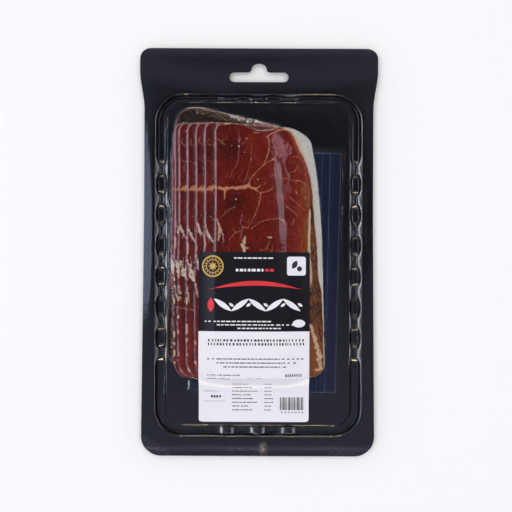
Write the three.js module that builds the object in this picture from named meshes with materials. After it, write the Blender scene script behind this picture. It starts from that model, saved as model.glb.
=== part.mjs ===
// A flat pack of sliced cured ham: a thermoformed black tray with a raised platform and a
// channel around it, thin separator sheets, seven fanned slices, a clear lid film that is
// drawn down over them, and a paper label on the film.
// Millimetres, +Z up. The pack lies on its back with its hanging flap towards +Y.
// The origin is the middle of its footprint, on the surface that it lies on.

import * as THREE from 'three';

const { clamp, lerp, smoothstep, degToRad } = THREE.MathUtils;

// Tray outline
const PACK_LENGTH = 240;
const FLAP_WIDTH = 140;
const WAIST_WIDTH = 134.6;
const FOOT_WIDTH = 137.2;
const FLARE_FROM = 84;
const FLARE_TO = 107;
const WAIST_FROM = 20;
const FLAP_CORNER_RADIUS = 6.2;
const FOOT_CORNER_RADIUS = 11.5;

// Hanging hole: a slot with a rounded hump in the middle
const HOLE_MIDDLE = 102.9;
const SLOT_WIDTH = 34.7;
const SLOT_HEIGHT = 5.7;
const HUMP_WIDTH = 8.8;
const HUMP_HEIGHT = 5.1;
const HUMP_FLARE = 2.05;

// Formed sheet levels
const TRAY_SHEET = 0.5;
const FLANGE_TOP = 5.1;
const PLATFORM_TOP = 4.2;
const POCKET_TOP = 0.5;
const SADDLE_TOP = 2.4;

// Channel around the platform, as two rounded rectangles
const CHANNEL_OUTER = { half: 61, top: 93.1, foot: -108.7, radius: 16.8 };
const CHANNEL_INNER = { half: 53.7, top: 88.1, foot: -101.7, radius: 9.7 };
const CORNER_STEPS = 5;

// Raised saddles that cross the channel
const SIDE_SADDLES = 7;
const SIDE_SADDLE_MIDDLE = -5.1;
const END_SADDLES = 3;
const SADDLE_PITCH = 18.1;
const SADDLE_CREST = 3.4;
const SADDLE_FOOT = 5.1;

// Where the channel's two lips and two feet lie, from its outer edge (0) to its inner (1)
const POCKET_PROFILE = [0.06, 0.36, 0.76, 0.97];
const SADDLE_PROFILE = [0.12, 0.4, 0.66, 0.84];
const WALL_SHARE = 0.05;

// Separator sheets under the ham
const SHEET_WIDTH = 74;
const SHEET_LENGTH = 141;
const SHEET_THICKNESS = 0.1;
const SHEET_RIGHT_EDGES = [47.2, 40.9, 36.2];
const SHEET_MIDDLE = -11.2;
const SHEET_TILT = 1.2;

// Ham slices, counted from the top one
const SLICE_THICKNESS = 0.85;
const GAP = 0.3;
const SLICE_LEFT_EDGES = [-25.4, -31.6, -36.8, -41.9, -46.9, -49.4];
const RIGHT_END_STEP = 3.9;
const HAM_TOP = 75.3;
const HAM_FOOT = -73.3;
const EDGE_WAVE = 0.35;
const EDGE_WAVE_LENGTH = 130;
const TOP_LEFT_CORNER = [4.4, 5];
const FOOT_LEFT_CORNER = [8, 9];
const TOP_RIGHT_CORNER = [14, 9];
const FOOT_RIGHT_CORNER = [9, 8];
const TOP_EDGE_SLOPE = 0.069;
const TOP_EDGE_SLOPE_FROM = -22.5;
const TOP_EDGE_DIP = 3.5;
const TOP_EDGE_DIP_SPAN = [-12, 15];
const TOP_EDGE_FADE = 40;
const SLICE_ROWS = 20;
const FLAT_COLUMNS = 2;

// Lid film and label
const FILM_THICKNESS = 0.15;
const FILM_INSET = 0.5;
const FILM_SIDE_COLUMNS = 5;
const LABEL_LEFT = -34.6;
const LABEL_RIGHT = 30;
const LABEL_TOP = 0;
const LABEL_FOOT = -99.8;
const LABEL_THICKNESS = 0.15;
const LABEL_COLUMNS = 9;
const LABEL_ROWS = 12;
const FILM_TOP_ROWS = 11;
const COVER_SAMPLES = 6;

const SLICE_COUNT = SLICE_LEFT_EDGES.length + 1;
const RIND_SLICE = SLICE_COUNT - 1;
const SLICE_PITCH = SLICE_THICKNESS + GAP;
const SHEET_PITCH = SHEET_THICKNESS + GAP;
const FIRST_SHEET = PLATFORM_TOP + GAP;
const STACK_BASE = FIRST_SHEET + SHEET_RIGHT_EDGES.length * SHEET_PITCH;

// ---------------------------------------------------------------------------------------
// Closed solids from points and faces

class Solid {
  constructor() {
    this.positions = [];
    this.numbers = new Map();
    this.indices = [];
  }

  vertex(point) {
    const key = point.toArray().map((value) => value.toFixed(4)).join(' ');
    if (!this.numbers.has(key)) {
      this.numbers.set(key, this.positions.length / 3);
      this.positions.push(point.x, point.y, point.z);
    }
    return this.numbers.get(key);
  }

  triangle(a, b, c) {
    this.indices.push(this.vertex(a), this.vertex(b), this.vertex(c));
  }

  quad(a, b, c, d) {
    this.triangle(a, b, c);
    this.triangle(a, c, d);
  }

  // A closed band between two rings that run counterclockwise, the outer one first. Its quads
  // are split the same way on both sides, so that the sides of a sheet stay parallel.
  band(outer, inner, facesUp = true) {
    outer.forEach((point, i) => {
      const next = (i + 1) % outer.length;
      if (facesUp) {
        this.quad(point, outer[next], inner[next], inner[i]);
      } else {
        this.quad(point, inner[i], inner[next], outer[next]);
      }
    });
  }

  // A face across a contour with holes, whose points keep their own heights
  plate(contour, holes, facesUp) {
    const points = [contour, ...holes].flat();
    for (const [i, j, k] of THREE.ShapeUtils.triangulateShape(contour, holes)) {
      const corners = [points[i], points[j], points[k]];
      const isUp = THREE.ShapeUtils.area(corners) > 0;
      this.triangle(...(isUp === facesUp ? corners : corners.reverse()));
    }
  }

  // A closed band between rings with different numbers of points, split along the shorter
  // diagonals of the layout's two rings, which have as many points
  bridge(outer, inner, facesUp, [outerLayout, innerLayout]) {
    const gaps = innerLayout.map((point) => point.distanceTo(outerLayout[0]));
    const start = gaps.indexOf(Math.min(...gaps));
    let [outerSteps, innerSteps] = [0, 0];
    while (outerSteps < outer.length || innerSteps < inner.length) {
      const i = outerSteps % outer.length;
      const j = (start + innerSteps) % inner.length;
      const [nextI, nextJ] = [(i + 1) % outer.length, (j + 1) % inner.length];
      const outerGap = outerLayout[nextI].distanceTo(innerLayout[j]);
      const innerGap = innerLayout[nextJ].distanceTo(outerLayout[i]);
      const isInnerDone = innerSteps === inner.length;
      const isOuterNext = outerSteps < outer.length && (isInnerDone || outerGap <= innerGap);
      const corners = [outer[i], isOuterNext ? outer[nextI] : inner[nextJ], inner[j]];
      this.triangle(...(facesUp ? corners : corners.reverse()));
      outerSteps += isOuterNext ? 1 : 0;
      innerSteps += isOuterNext ? 0 : 1;
    }
  }

  geometry() {
    const geometry = new THREE.BufferGeometry();
    geometry.setAttribute('position', new THREE.Float32BufferAttribute(this.positions, 3));
    geometry.setIndex(this.indices);
    geometry.computeVertexNormals();
    return geometry;
  }
}

const raised = (point, height) => new THREE.Vector3(point.x, point.y, height);
const lifted = (ring, rise) => ring.map((point) => raised(point, point.z + rise));

// Evenly spread values from one end to the other, both ends included
function spread(from, to, steps) {
  return Array.from({ length: steps + 1 }, (_, i) => lerp(from, to, i / steps));
}

// A path's points at one height, without the repeated closing point
function ringOf(path, height, divisions) {
  const points = path.getPoints(divisions);
  if (points[0].distanceTo(points.at(-1)) < 1e-6) {
    points.pop();
  }
  return points.map((point) => raised(point, height));
}

// A sheet of even thickness on a grid of points that form its underside
function addSheet(solid, rows, thickness) {
  const tops = rows.map((row) => lifted(row, thickness));
  for (let j = 0; j + 1 < rows.length; j += 1) {
    for (let i = 0; i + 1 < rows[j].length; i += 1) {
      solid.quad(tops[j][i], tops[j][i + 1], tops[j + 1][i + 1], tops[j + 1][i]);
      solid.quad(rows[j][i], rows[j + 1][i], rows[j + 1][i + 1], rows[j][i + 1]);
    }
  }
}

// The border of a grid of points, counterclockwise when rows run up and columns run right
function borderOf(rows) {
  const last = rows.length - 1;
  const right = rows.slice(1, last).map((row) => row.at(-1));
  const left = rows.slice(1, last).map((row) => row[0]);
  return [...rows[0], ...right, ...rows[last].toReversed(), ...left.toReversed()];
}

function sheetSolid(rows, thickness) {
  const solid = new Solid();
  addSheet(solid, rows, thickness);
  const border = borderOf(rows);
  solid.band(border, lifted(border, thickness));
  return solid.geometry();
}

// ---------------------------------------------------------------------------------------
// Tray

function halfWidth(y) {
  const flare = smoothstep(y, FLARE_FROM, FLARE_TO) * (FLAP_WIDTH - WAIST_WIDTH);
  const taper = clamp((WAIST_FROM - y) / (WAIST_FROM + PACK_LENGTH / 2), 0, 1);
  return (WAIST_WIDTH + flare + taper * (FOOT_WIDTH - WAIST_WIDTH)) / 2;
}

function packOutline() {
  const shape = new THREE.Shape();
  const flapCorner = PACK_LENGTH / 2 - FLAP_CORNER_RADIUS;
  const footCorner = FOOT_CORNER_RADIUS - PACK_LENGTH / 2;
  const flapSide = halfWidth(flapCorner) - FLAP_CORNER_RADIUS;
  const footSide = halfWidth(footCorner) - FOOT_CORNER_RADIUS;
  const waist = spread(footCorner, FLARE_FROM, 4).slice(0, -1);
  const side = [...waist, ...spread(FLARE_FROM, FLARE_TO, 5)];
  shape.moveTo(halfWidth(footCorner), footCorner);
  side.slice(1).forEach((y) => shape.lineTo(halfWidth(y), y));
  shape.absarc(flapSide, flapCorner, FLAP_CORNER_RADIUS, 0, Math.PI / 2);
  shape.absarc(-flapSide, flapCorner, FLAP_CORNER_RADIUS, Math.PI / 2, Math.PI);
  side.toReversed().forEach((y) => shape.lineTo(-halfWidth(y), y));
  shape.absarc(-footSide, footCorner, FOOT_CORNER_RADIUS, Math.PI, 1.5 * Math.PI);
  shape.absarc(footSide, footCorner, FOOT_CORNER_RADIUS, 1.5 * Math.PI, 2 * Math.PI);
  return shape;
}

function hangingHole() {
  const path = new THREE.Path();
  const end = (SLOT_WIDTH - SLOT_HEIGHT) / 2;
  const slotTop = HOLE_MIDDLE + SLOT_HEIGHT / 2;
  const flareMiddle = HUMP_WIDTH / 2 + HUMP_FLARE;
  const flareTop = slotTop + HUMP_FLARE;
  const crown = HUMP_HEIGHT - HUMP_FLARE;
  path.absarc(end, HOLE_MIDDLE, SLOT_HEIGHT / 2, -Math.PI / 2, Math.PI / 2);
  path.absarc(flareMiddle, flareTop, HUMP_FLARE, -Math.PI / 2, -Math.PI, true);
  path.absellipse(0, flareTop, HUMP_WIDTH / 2, crown, 0, Math.PI);
  path.absarc(-flareMiddle, flareTop, HUMP_FLARE, 0, -Math.PI / 2, true);
  path.absarc(-end, HOLE_MIDDLE, SLOT_HEIGHT / 2, Math.PI / 2, 1.5 * Math.PI);
  path.closePath();
  return path;
}

// Marks along a straight side: each saddle has a foot, two crest marks and a foot
function saddleMarks(count, middle) {
  return Array.from({ length: count }, (_, n) => middle + (n - (count - 1) / 2) * SADDLE_PITCH)
    .flatMap((at) => [
      { at: at - SADDLE_FOOT, isSaddle: false },
      { at: at - SADDLE_CREST, isSaddle: true },
      { at: at + SADDLE_CREST, isSaddle: true },
      { at: at + SADDLE_FOOT, isSaddle: false },
    ]);
}

function cornerPoint(loop, signX, signY, angle) {
  const middleY = signY > 0 ? loop.top - loop.radius : loop.foot + loop.radius;
  const x = signX * (loop.half - loop.radius) + loop.radius * Math.cos(angle);
  return new THREE.Vector2(x, middleY + loop.radius * Math.sin(angle));
}

// Stations around the channel, counterclockwise, each with its outer and inner point
function channelStations() {
  const stations = [];
  const add = (place, isSaddle) => {
    stations.push({ outer: place(CHANNEL_OUTER), inner: place(CHANNEL_INNER), isSaddle });
  };
  const addCorner = (signX, signY, start) => {
    for (const angle of spread(start, start + Math.PI / 2, CORNER_STEPS)) {
      add((loop) => cornerPoint(loop, signX, signY, angle), false);
    }
  };
  const sideMarks = saddleMarks(SIDE_SADDLES, SIDE_SADDLE_MIDDLE);
  const endMarks = saddleMarks(END_SADDLES, 0);
  for (const { at, isSaddle } of sideMarks) {
    add((loop) => new THREE.Vector2(loop.half, at), isSaddle);
  }
  addCorner(1, 1, 0);
  for (const { at, isSaddle } of endMarks.toReversed()) {
    add((loop) => new THREE.Vector2(at, loop.top), isSaddle);
  }
  addCorner(-1, 1, Math.PI / 2);
  for (const { at, isSaddle } of sideMarks.toReversed()) {
    add((loop) => new THREE.Vector2(-loop.half, at), isSaddle);
  }
  addCorner(-1, -1, Math.PI);
  for (const { at, isSaddle } of endMarks) {
    add((loop) => new THREE.Vector2(at, loop.foot), isSaddle);
  }
  addCorner(1, -1, 1.5 * Math.PI);
  return stations;
}

// The channel's four rings: outer lip, outer foot, inner foot and inner lip.
// The share moves them apart, out of the channel, and the rise moves them up.
function channelRings(share, rise) {
  return [0, 1, 2, 3].map((ring) => channelStations().map(({ outer, inner, isSaddle }) => {
    const profile = isSaddle ? SADDLE_PROFILE : POCKET_PROFILE;
    const floor = isSaddle ? SADDLE_TOP : POCKET_TOP;
    const heights = [FLANGE_TOP, floor, floor, PLATFORM_TOP];
    const outwards = ring < 2 ? -share : share;
    const point = outer.clone().lerp(inner, profile[ring] + outwards);
    return raised(point, heights[ring] + rise);
  }));
}

// One side of a formed sheet: its flange, its channel and, if asked, the flat middle
function addFormedSide(solid, rings, flangeHeight, facesUp, hasMiddle) {
  const outline = ringOf(packOutline(), flangeHeight, 3);
  const hole = ringOf(hangingHole(), flangeHeight, 3);
  solid.plate(outline, [rings[0], hole], facesUp);
  for (let ring = 0; ring < 3; ring += 1) {
    solid.band(rings[ring], rings[ring + 1], facesUp);
  }
  if (hasMiddle) {
    solid.plate(rings[3], [], facesUp);
  }
}

// The cut edges around the outline and in the hanging hole
function addCutEdges(solid, underside, top) {
  solid.band(ringOf(packOutline(), underside, 3), ringOf(packOutline(), top, 3));
  solid.band(ringOf(hangingHole(), top, 3), ringOf(hangingHole(), underside, 3));
}

function trayGeometry() {
  const solid = new Solid();
  const underside = FLANGE_TOP - TRAY_SHEET;
  addFormedSide(solid, channelRings(0, 0), FLANGE_TOP, true, true);
  addFormedSide(solid, channelRings(WALL_SHARE, -TRAY_SHEET), underside, false, true);
  addCutEdges(solid, underside, FLANGE_TOP);
  return solid.geometry();
}

// ---------------------------------------------------------------------------------------
// Ham slices

// How far a rounded corner cuts in, at a distance from the slice's end
function cornerInset(distance, [width, height]) {
  const reach = clamp(1 - distance / height, 0, 1);
  return width * (1 - Math.sqrt(1 - reach * reach));
}

// The line at which the top slice would come down to the platform on the right
function drapeLine(y) {
  return 38.2 - 0.026 * y - 0.0011 * Math.max(0, y) ** 2;
}

function sliceLeft(slice, y) {
  const wave = EDGE_WAVE * Math.sin((2 * Math.PI * y) / EDGE_WAVE_LENGTH);
  const corners = cornerInset(HAM_TOP - y, TOP_LEFT_CORNER)
    + cornerInset(y - HAM_FOOT, FOOT_LEFT_CORNER);
  return SLICE_LEFT_EDGES[slice] + wave + corners;
}

function sliceRight(slice, y) {
  const corners = cornerInset(HAM_TOP - y, TOP_RIGHT_CORNER)
    + cornerInset(y - HAM_FOOT, FOOT_RIGHT_CORNER);
  return drapeLine(y) - slice * RIGHT_END_STEP - corners;
}

// The top edge falls gently to the right, and the top slice's has a dip of its own
function warpedY(slice, x, y) {
  const slope = TOP_EDGE_SLOPE * Math.max(0, x - TOP_EDGE_SLOPE_FROM);
  const [from, to] = TOP_EDGE_DIP_SPAN;
  const along = clamp((x - from) / (to - from), 0, 1);
  const dip = slice === 0 ? TOP_EDGE_DIP * Math.sin(Math.PI * along) ** 2 : 0;
  return y - smoothstep(y, TOP_EDGE_FADE, HAM_TOP) * (slope + dip);
}

// The underside of a slice: it rests on those below and comes down past their right ends
function sliceUnderside(slice, x, y) {
  const levels = (drapeLine(y) - x) / RIGHT_END_STEP - slice;
  return STACK_BASE + SLICE_PITCH * clamp(levels, 0, RIND_SLICE - slice);
}

function sliceGeometry(slice) {
  const rows = spread(0, Math.PI, SLICE_ROWS).map((turn) => {
    const y = lerp(HAM_FOOT, HAM_TOP, (1 - Math.cos(turn)) / 2);
    const left = sliceLeft(slice, y);
    const right = sliceRight(slice, y);
    const bend = Math.min(drapeLine(y) - RIND_SLICE * RIGHT_END_STEP, right - 1);
    const flat = spread(left, bend, FLAT_COLUMNS).slice(0, -1);
    const columns = [...flat, ...spread(bend, right, RIND_SLICE - slice)];
    return columns.map((x) => {
      const placedY = warpedY(slice, x, y);
      return new THREE.Vector3(x, placedY, sliceUnderside(slice, x, placedY));
    });
  });
  return sheetSolid(rows, SLICE_THICKNESS);
}

// The lowest slice keeps its rind and stands out on the left and at the top
function rindSliceGeometry() {
  const shape = new THREE.Shape();
  shape.moveTo(-48, -63.8);
  shape.splineThru([
    [-51.6, -63.2], [-52.9, -58], [-53, -32], [-51.6, -14], [-51.2, 20], [-50.6, 60],
    [-49.6, 71.8], [-47.1, 80.4], [-43.5, 83.5], [-36, 84.6], [-26.5, 82.9], [-13.1, 79.4],
    [2.2, 76.3], [11.6, 74.1],
  ].map(([x, y]) => new THREE.Vector2(x, y)));
  shape.lineTo(11.6, 73.7);
  shape.lineTo(-1, 74.5);
  spread(69, HAM_FOOT + 12, 6).forEach((y) => {
    shape.lineTo(drapeLine(y) - RIND_SLICE * RIGHT_END_STEP, y);
  });
  shape.lineTo(4, -63.8);
  const options = { depth: SLICE_THICKNESS, bevelEnabled: false, curveSegments: 2 };
  return new THREE.ExtrudeGeometry(shape, options);
}

// ---------------------------------------------------------------------------------------
// Separator sheets

function sheetGeometry() {
  const shape = new THREE.Shape();
  shape.moveTo(-SHEET_WIDTH / 2, -SHEET_LENGTH / 2);
  shape.lineTo(SHEET_WIDTH / 2, -SHEET_LENGTH / 2);
  shape.lineTo(SHEET_WIDTH / 2, SHEET_LENGTH / 2);
  shape.lineTo(-SHEET_WIDTH / 2, SHEET_LENGTH / 2);
  const options = { depth: SHEET_THICKNESS, bevelEnabled: false };
  return new THREE.ExtrudeGeometry(shape, options);
}

// ---------------------------------------------------------------------------------------
// Lid film and label

// The height of what the film covers at one place on the platform
function coveredHeight(x, y) {
  for (let slice = 0; slice < RIND_SLICE; slice += 1) {
    const isBeside = x < sliceLeft(slice, y) || x > sliceRight(slice, y);
    if (!isBeside && y < HAM_TOP && y > HAM_FOOT) {
      return sliceUnderside(slice, x, y) + SLICE_THICKNESS;
    }
  }
  if (x < 12 && y < 85 && y > HAM_FOOT) {
    return STACK_BASE + SLICE_THICKNESS;
  }
  const hasSheets = x < 50 && Math.abs(y - SHEET_MIDDLE) < SHEET_LENGTH / 2 + 1;
  return hasSheets ? STACK_BASE - GAP : PLATFORM_TOP;
}

// How far the platform's rounded outline reaches up or down at a place across it
function platformReach(x, end) {
  const { half, radius } = CHANNEL_INNER;
  const corner = radius - FILM_INSET;
  const beyond = Math.max(0, Math.abs(x) - (half - radius));
  const drop = corner - Math.sqrt(Math.max(0, corner * corner - beyond * beyond));
  return end - Math.sign(end) * (FILM_INSET + drop);
}

// The grid of the film over the platform; it has lines along all four edges of the label
function filmGrid() {
  const side = CHANNEL_INNER.half - FILM_INSET;
  const xs = [
    ...spread(-side, LABEL_LEFT, FILM_SIDE_COLUMNS).slice(0, -1),
    ...spread(LABEL_LEFT, LABEL_RIGHT, LABEL_COLUMNS).slice(0, -1),
    ...spread(LABEL_RIGHT, side, FILM_SIDE_COLUMNS),
  ];
  const foot = CHANNEL_INNER.foot + FILM_INSET;
  const top = CHANNEL_INNER.top - FILM_INSET;
  const ys = [
    foot,
    ...spread(LABEL_FOOT, LABEL_TOP, LABEL_ROWS).slice(0, -1),
    ...spread(LABEL_TOP, top, FILM_TOP_ROWS),
  ];
  return ys.map((y) => xs.map((x) => {
    const [end, full] = y < 0 ? [CHANNEL_INNER.foot, foot] : [CHANNEL_INNER.top, top];
    return new THREE.Vector2(x, (y * platformReach(x, end)) / full);
  }));
}

// Each grid point rises over the highest thing in the cells around it
function filmUnderside() {
  const grid = filmGrid();
  const pointAt = (j, i) => grid[clamp(j, 0, grid.length - 1)][clamp(i, 0, grid[0].length - 1)];
  return grid.map((row, j) => row.map((point, i) => {
    const low = pointAt(j - 1, i - 1);
    const high = pointAt(j + 1, i + 1);
    const heights = spread(low.y, high.y, COVER_SAMPLES).flatMap(
      (y) => spread(low.x, high.x, COVER_SAMPLES).map((x) => coveredHeight(x, y)),
    );
    return raised(point, Math.max(...heights) + GAP);
  }));
}

function filmGeometry() {
  const solid = new Solid();
  const share = (GAP * WALL_SHARE) / TRAY_SHEET;
  const topShare = ((GAP + FILM_THICKNESS) * WALL_SHARE) / TRAY_SHEET;
  const underside = filmUnderside();
  const border = borderOf(underside);
  const lowRings = channelRings(-share * 1.4, GAP);
  const highRings = channelRings(-topShare * 1.4, GAP + FILM_THICKNESS);
  addFormedSide(solid, lowRings, FLANGE_TOP + GAP, false, false);
  addFormedSide(solid, highRings, FLANGE_TOP + GAP + FILM_THICKNESS, true, false);
  const layout = [lowRings[3], border];
  solid.bridge(lowRings[3], border, false, layout);
  solid.bridge(highRings[3], lifted(border, FILM_THICKNESS), true, layout);
  addSheet(solid, underside, FILM_THICKNESS);
  addCutEdges(solid, FLANGE_TOP + GAP, FLANGE_TOP + GAP + FILM_THICKNESS);
  return solid.geometry();
}

function labelGeometry() {
  const rows = filmUnderside()
    .filter((row) => row[FILM_SIDE_COLUMNS].y > LABEL_FOOT - 0.01)
    .filter((row) => row[FILM_SIDE_COLUMNS].y < LABEL_TOP + 0.01)
    .map((row) => row.slice(FILM_SIDE_COLUMNS, FILM_SIDE_COLUMNS + LABEL_COLUMNS + 1))
    .map((row) => lifted(row, FILM_THICKNESS + GAP));
  return sheetSolid(rows, LABEL_THICKNESS);
}

// ---------------------------------------------------------------------------------------
// The pack

const TRAY_BLACK = new THREE.MeshStandardMaterial({ color: 0x17181b, roughness: 0.25 });
const SHEET_BLUE = new THREE.MeshStandardMaterial({ color: 0x2c3a66, roughness: 0.3 });
const RIND_BROWN = new THREE.MeshStandardMaterial({ color: 0x3a2016, roughness: 0.5 });
const LABEL_WHITE = new THREE.MeshStandardMaterial({ color: 0xe8e8f0, roughness: 0.45 });
const FILM_CLEAR = new THREE.MeshStandardMaterial({
  color: 0xdfe3ea, roughness: 0.1, transparent: true, opacity: 0.25,
});

function meatMaterial(slice) {
  const colour = new THREE.Color(0x6e1a14).lerp(new THREE.Color(0x4f1812), slice / SLICE_COUNT);
  return new THREE.MeshStandardMaterial({ color: colour, roughness: 0.35 });
}

function add(group, name, geometry, material) {
  const mesh = new THREE.Mesh(geometry, material);
  mesh.name = name;
  group.add(mesh);
  return mesh;
}

const pack = new THREE.Group();
add(pack, 'tray', trayGeometry(), TRAY_BLACK);

SHEET_RIGHT_EDGES.forEach((rightEdge, level) => {
  const sheet = add(pack, `separator_sheet_${level + 1}`, sheetGeometry(), SHEET_BLUE.clone());
  const height = FIRST_SHEET + level * SHEET_PITCH;
  sheet.position.set(rightEdge - SHEET_WIDTH / 2, SHEET_MIDDLE, height);
  sheet.rotation.z = -degToRad(SHEET_TILT);
});

for (let slice = 0; slice < RIND_SLICE; slice += 1) {
  add(pack, `ham_slice_${slice + 1}`, sliceGeometry(slice), meatMaterial(slice));
}
const rindSlice = add(pack, `ham_slice_${SLICE_COUNT}`, rindSliceGeometry(), RIND_BROWN);
rindSlice.position.z = STACK_BASE;

add(pack, 'lid_film', filmGeometry(), FILM_CLEAR);
add(pack, 'label', labelGeometry(), LABEL_WHITE);

export default pack;
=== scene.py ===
"""Looks of a flat pack of sliced cured ham: formed black tray, blue separator sheets,
fanned slices, clear lid film and paper label.

Sizes in the code are millimetres unless a property says otherwise; meshes are in metres.
"""

import math

import bpy
import numpy as np
from bpy.props import FloatProperty, FloatVectorProperty, PointerProperty
from bpy.types import NodeSocket, Operator, Panel, PropertyGroup
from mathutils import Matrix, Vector
from mathutils.geometry import delaunay_2d_cdt


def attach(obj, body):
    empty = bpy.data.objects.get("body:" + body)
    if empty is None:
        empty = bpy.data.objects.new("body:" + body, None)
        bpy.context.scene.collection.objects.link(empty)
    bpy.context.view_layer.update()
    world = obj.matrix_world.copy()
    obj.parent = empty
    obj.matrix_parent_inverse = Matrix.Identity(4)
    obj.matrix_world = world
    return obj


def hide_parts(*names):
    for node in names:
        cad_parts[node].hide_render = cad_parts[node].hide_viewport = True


bl_info = {
    "name": "Sliced Ham Pack",
    "version": (1, 0, 0),
    "blender": (4, 5, 0),
    "location": "3D View > Sidebar > Ham Pack",
    "description": "Builds the tray, separator sheets, slices, lid film and label of a ham pack",
    "category": "Mesh",
}

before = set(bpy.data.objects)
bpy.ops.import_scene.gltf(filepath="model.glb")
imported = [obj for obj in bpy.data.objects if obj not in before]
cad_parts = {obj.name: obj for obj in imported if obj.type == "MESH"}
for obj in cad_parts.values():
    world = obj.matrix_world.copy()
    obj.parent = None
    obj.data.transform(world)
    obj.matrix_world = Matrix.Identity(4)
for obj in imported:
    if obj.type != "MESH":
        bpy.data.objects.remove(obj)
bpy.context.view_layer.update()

# A millimetre in metres, and one point a square millimetre as points a square metre
MM = 0.001
PER_SQUARE_MM = 1e6

# Tray outline and levels
PACK_LENGTH = 240.0
FLAP_WIDTH = 140.0
WAIST_WIDTH = 134.6
FOOT_WIDTH = 137.2
FLARE = (84.0, 107.0)
WAIST_FROM = 20.0
FLAP_CORNER_RADIUS = 6.2
FOOT_CORNER_RADIUS = 11.5
FLANGE_TOP = 5.1
PLATFORM_TOP = 4.2
POCKET_TOP = 0.5
SADDLE_TOP = 2.8

# Hanging hole
HOLE_MIDDLE = 102.9
SLOT_WIDTH = 34.7
SLOT_HEIGHT = 5.7
HUMP_WIDTH = 8.8
HUMP_HEIGHT = 5.1
HUMP_FLARE = 2.05

# Channel around the platform, as two rounded rectangles: half width, top, foot, radius
CHANNEL_OUTER = (61.0, 93.1, -108.7, 16.8)
CHANNEL_INNER = (53.7, 88.1, -101.7, 9.7)
SKEW_FROM = 70.0
SIDE_SADDLES = 7
SIDE_SADDLE_MIDDLE = -5.1
END_SADDLES = 3
SADDLE_PITCH = 18.1
# How far the level top and the sloping end of a saddle reach from its middle, where the
# lips flare beside it and at the foot, where they don't
FLARED_SADDLE = (3.4, 4.4)
PLAIN_SADDLE = (1.8, 4.8)
# Across the channel, as shares of its width: floor edges and sloping lips
POCKET_FLOOR = (0.2, 0.86)
SADDLE_FLOOR = (0.42, 0.68)
POCKET_LIPS = (0.075, 0.03)
SADDLE_LIPS = (0.3, 0.22)
LIP_REACH = 7.4
LIP_SLOPE = 0.77
LIP_CORNER = 0.22
FLOOR_CORNER = 0.8
PROFILE_ENDS = (-0.2, 1.2)
# Distance of the points along the channel
TRAY_STEP = 0.62
FILM_STEP = 1.24

# Separator sheets
SHEET_WIDTH = 74.0
SHEET_LENGTH = 141.0
SHEET_THICKNESS = 0.1
# Share of its thickness that a sheet is filled to, so that the sheets stay apart
SHEET_SOLID_SHARE = 0.7
SHEET_RIGHT_EDGES = (47.2, 40.9, 36.2)
SHEET_MIDDLE = -11.2
SHEET_TILT = math.radians(1.2)
FIRST_SHEET = 4.5
SHEET_PITCH = 0.4

# Ham slices, counted from the top one
STACK_BASE = 5.7
SLICE_PITCH = 1.15
SLICE_LEFT_EDGES = (-25.4, -31.6, -36.8, -41.9, -46.9, -49.4)
RIND_SLICE = 6
RIGHT_END_STEP = 3.9
RIGHT_EDGE = 37.5
DRAPE_BEND = 0.8
# The pile sinks towards its left from the first to the second of these
LEFT_SETTLING = (-12, -48)
EDGE_ROUNDING = 0.32
# Height of a slice's underside and thickness of the rind slice, as shares of a slice
UNDERSIDE_SHARE = 0.25
RIND_THICKNESS_SHARE = 0.75
HAM_TOP = 75.3
HAM_FOOT = -73.3
# The rows of points are closer above this height, where no label lies over the ham
FINE_ROWS_FOOT = -3.0
EDGE_WAVE = 0.35
EDGE_WAVE_LENGTH = 130.0
TOP_LEFT_CORNER = (4.4, 5.0)
FOOT_LEFT_CORNER = (8.0, 9.0)
TOP_RIGHT_CORNER = (14.0, 9.0)
FOOT_RIGHT_CORNER = (9.0, 8.0)
TOP_EDGE_SLOPE = 0.069
TOP_EDGE_SLOPE_FROM = -22.5
TOP_EDGE_DIP = 3.5
TOP_EDGE_DIP_SPAN = (-12.0, 15.0)
TOP_EDGE_FADE = 40.0
RIND_OUTLINE = (
    (-48, -63.8), (-51.6, -63.2), (-53.4, -58), (-53.6, -45), (-53, -32), (-51.6, -14),
    (-51.2, 20), (-50.9, 45), (-50.6, 60), (-49.6, 71.8), (-48.6, 77), (-47.1, 80.4),
    (-43.5, 83.5), (-36, 84.6), (-26.5, 82.9), (-13.1, 79.4), (2.2, 76.3), (11.6, 74.1),
)

# Label
LABEL_LEFT = -34.6
LABEL_RIGHT = 30.0
LABEL_TOP = 0.0
LABEL_FOOT = -99.8
LABEL_CORNER = 1.8
LABEL_LIFT = 0.05
INK_THICKNESS = 0.02
BAR_THICKNESS = 0.05
BAR_LIFT = 0.03

# Lid film over the platform, and the floor that the pack lies on
FIELD_HALF = 52.4
FIELD_TOP = 86.8
FIELD_FOOT = -100.4
FLOOR_HALF = 900.0
FLOOR_LEVEL = -0.6


# ---- Numbers: steps, noise and distances on arrays of points in millimetres


def unit(value):
    return np.clip(value, 0.0, 1.0)


def smoothstep(value, low, high):
    """0 below low, 1 above high and a smooth rise between; low may be the larger one."""
    share = unit((np.asarray(value, float) - low) / (high - low))
    return share * share * (3.0 - 2.0 * share)


def bump(value, middle, width):
    """A smooth hill of height 1 around middle."""
    return np.exp(-(((np.asarray(value, float) - middle) / width) ** 2))


# Large unrelated factors that turn a place and a seed into a value without a pattern
SCRAMBLE = (127.1, 311.7, 74.7, 43758.5453)


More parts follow.
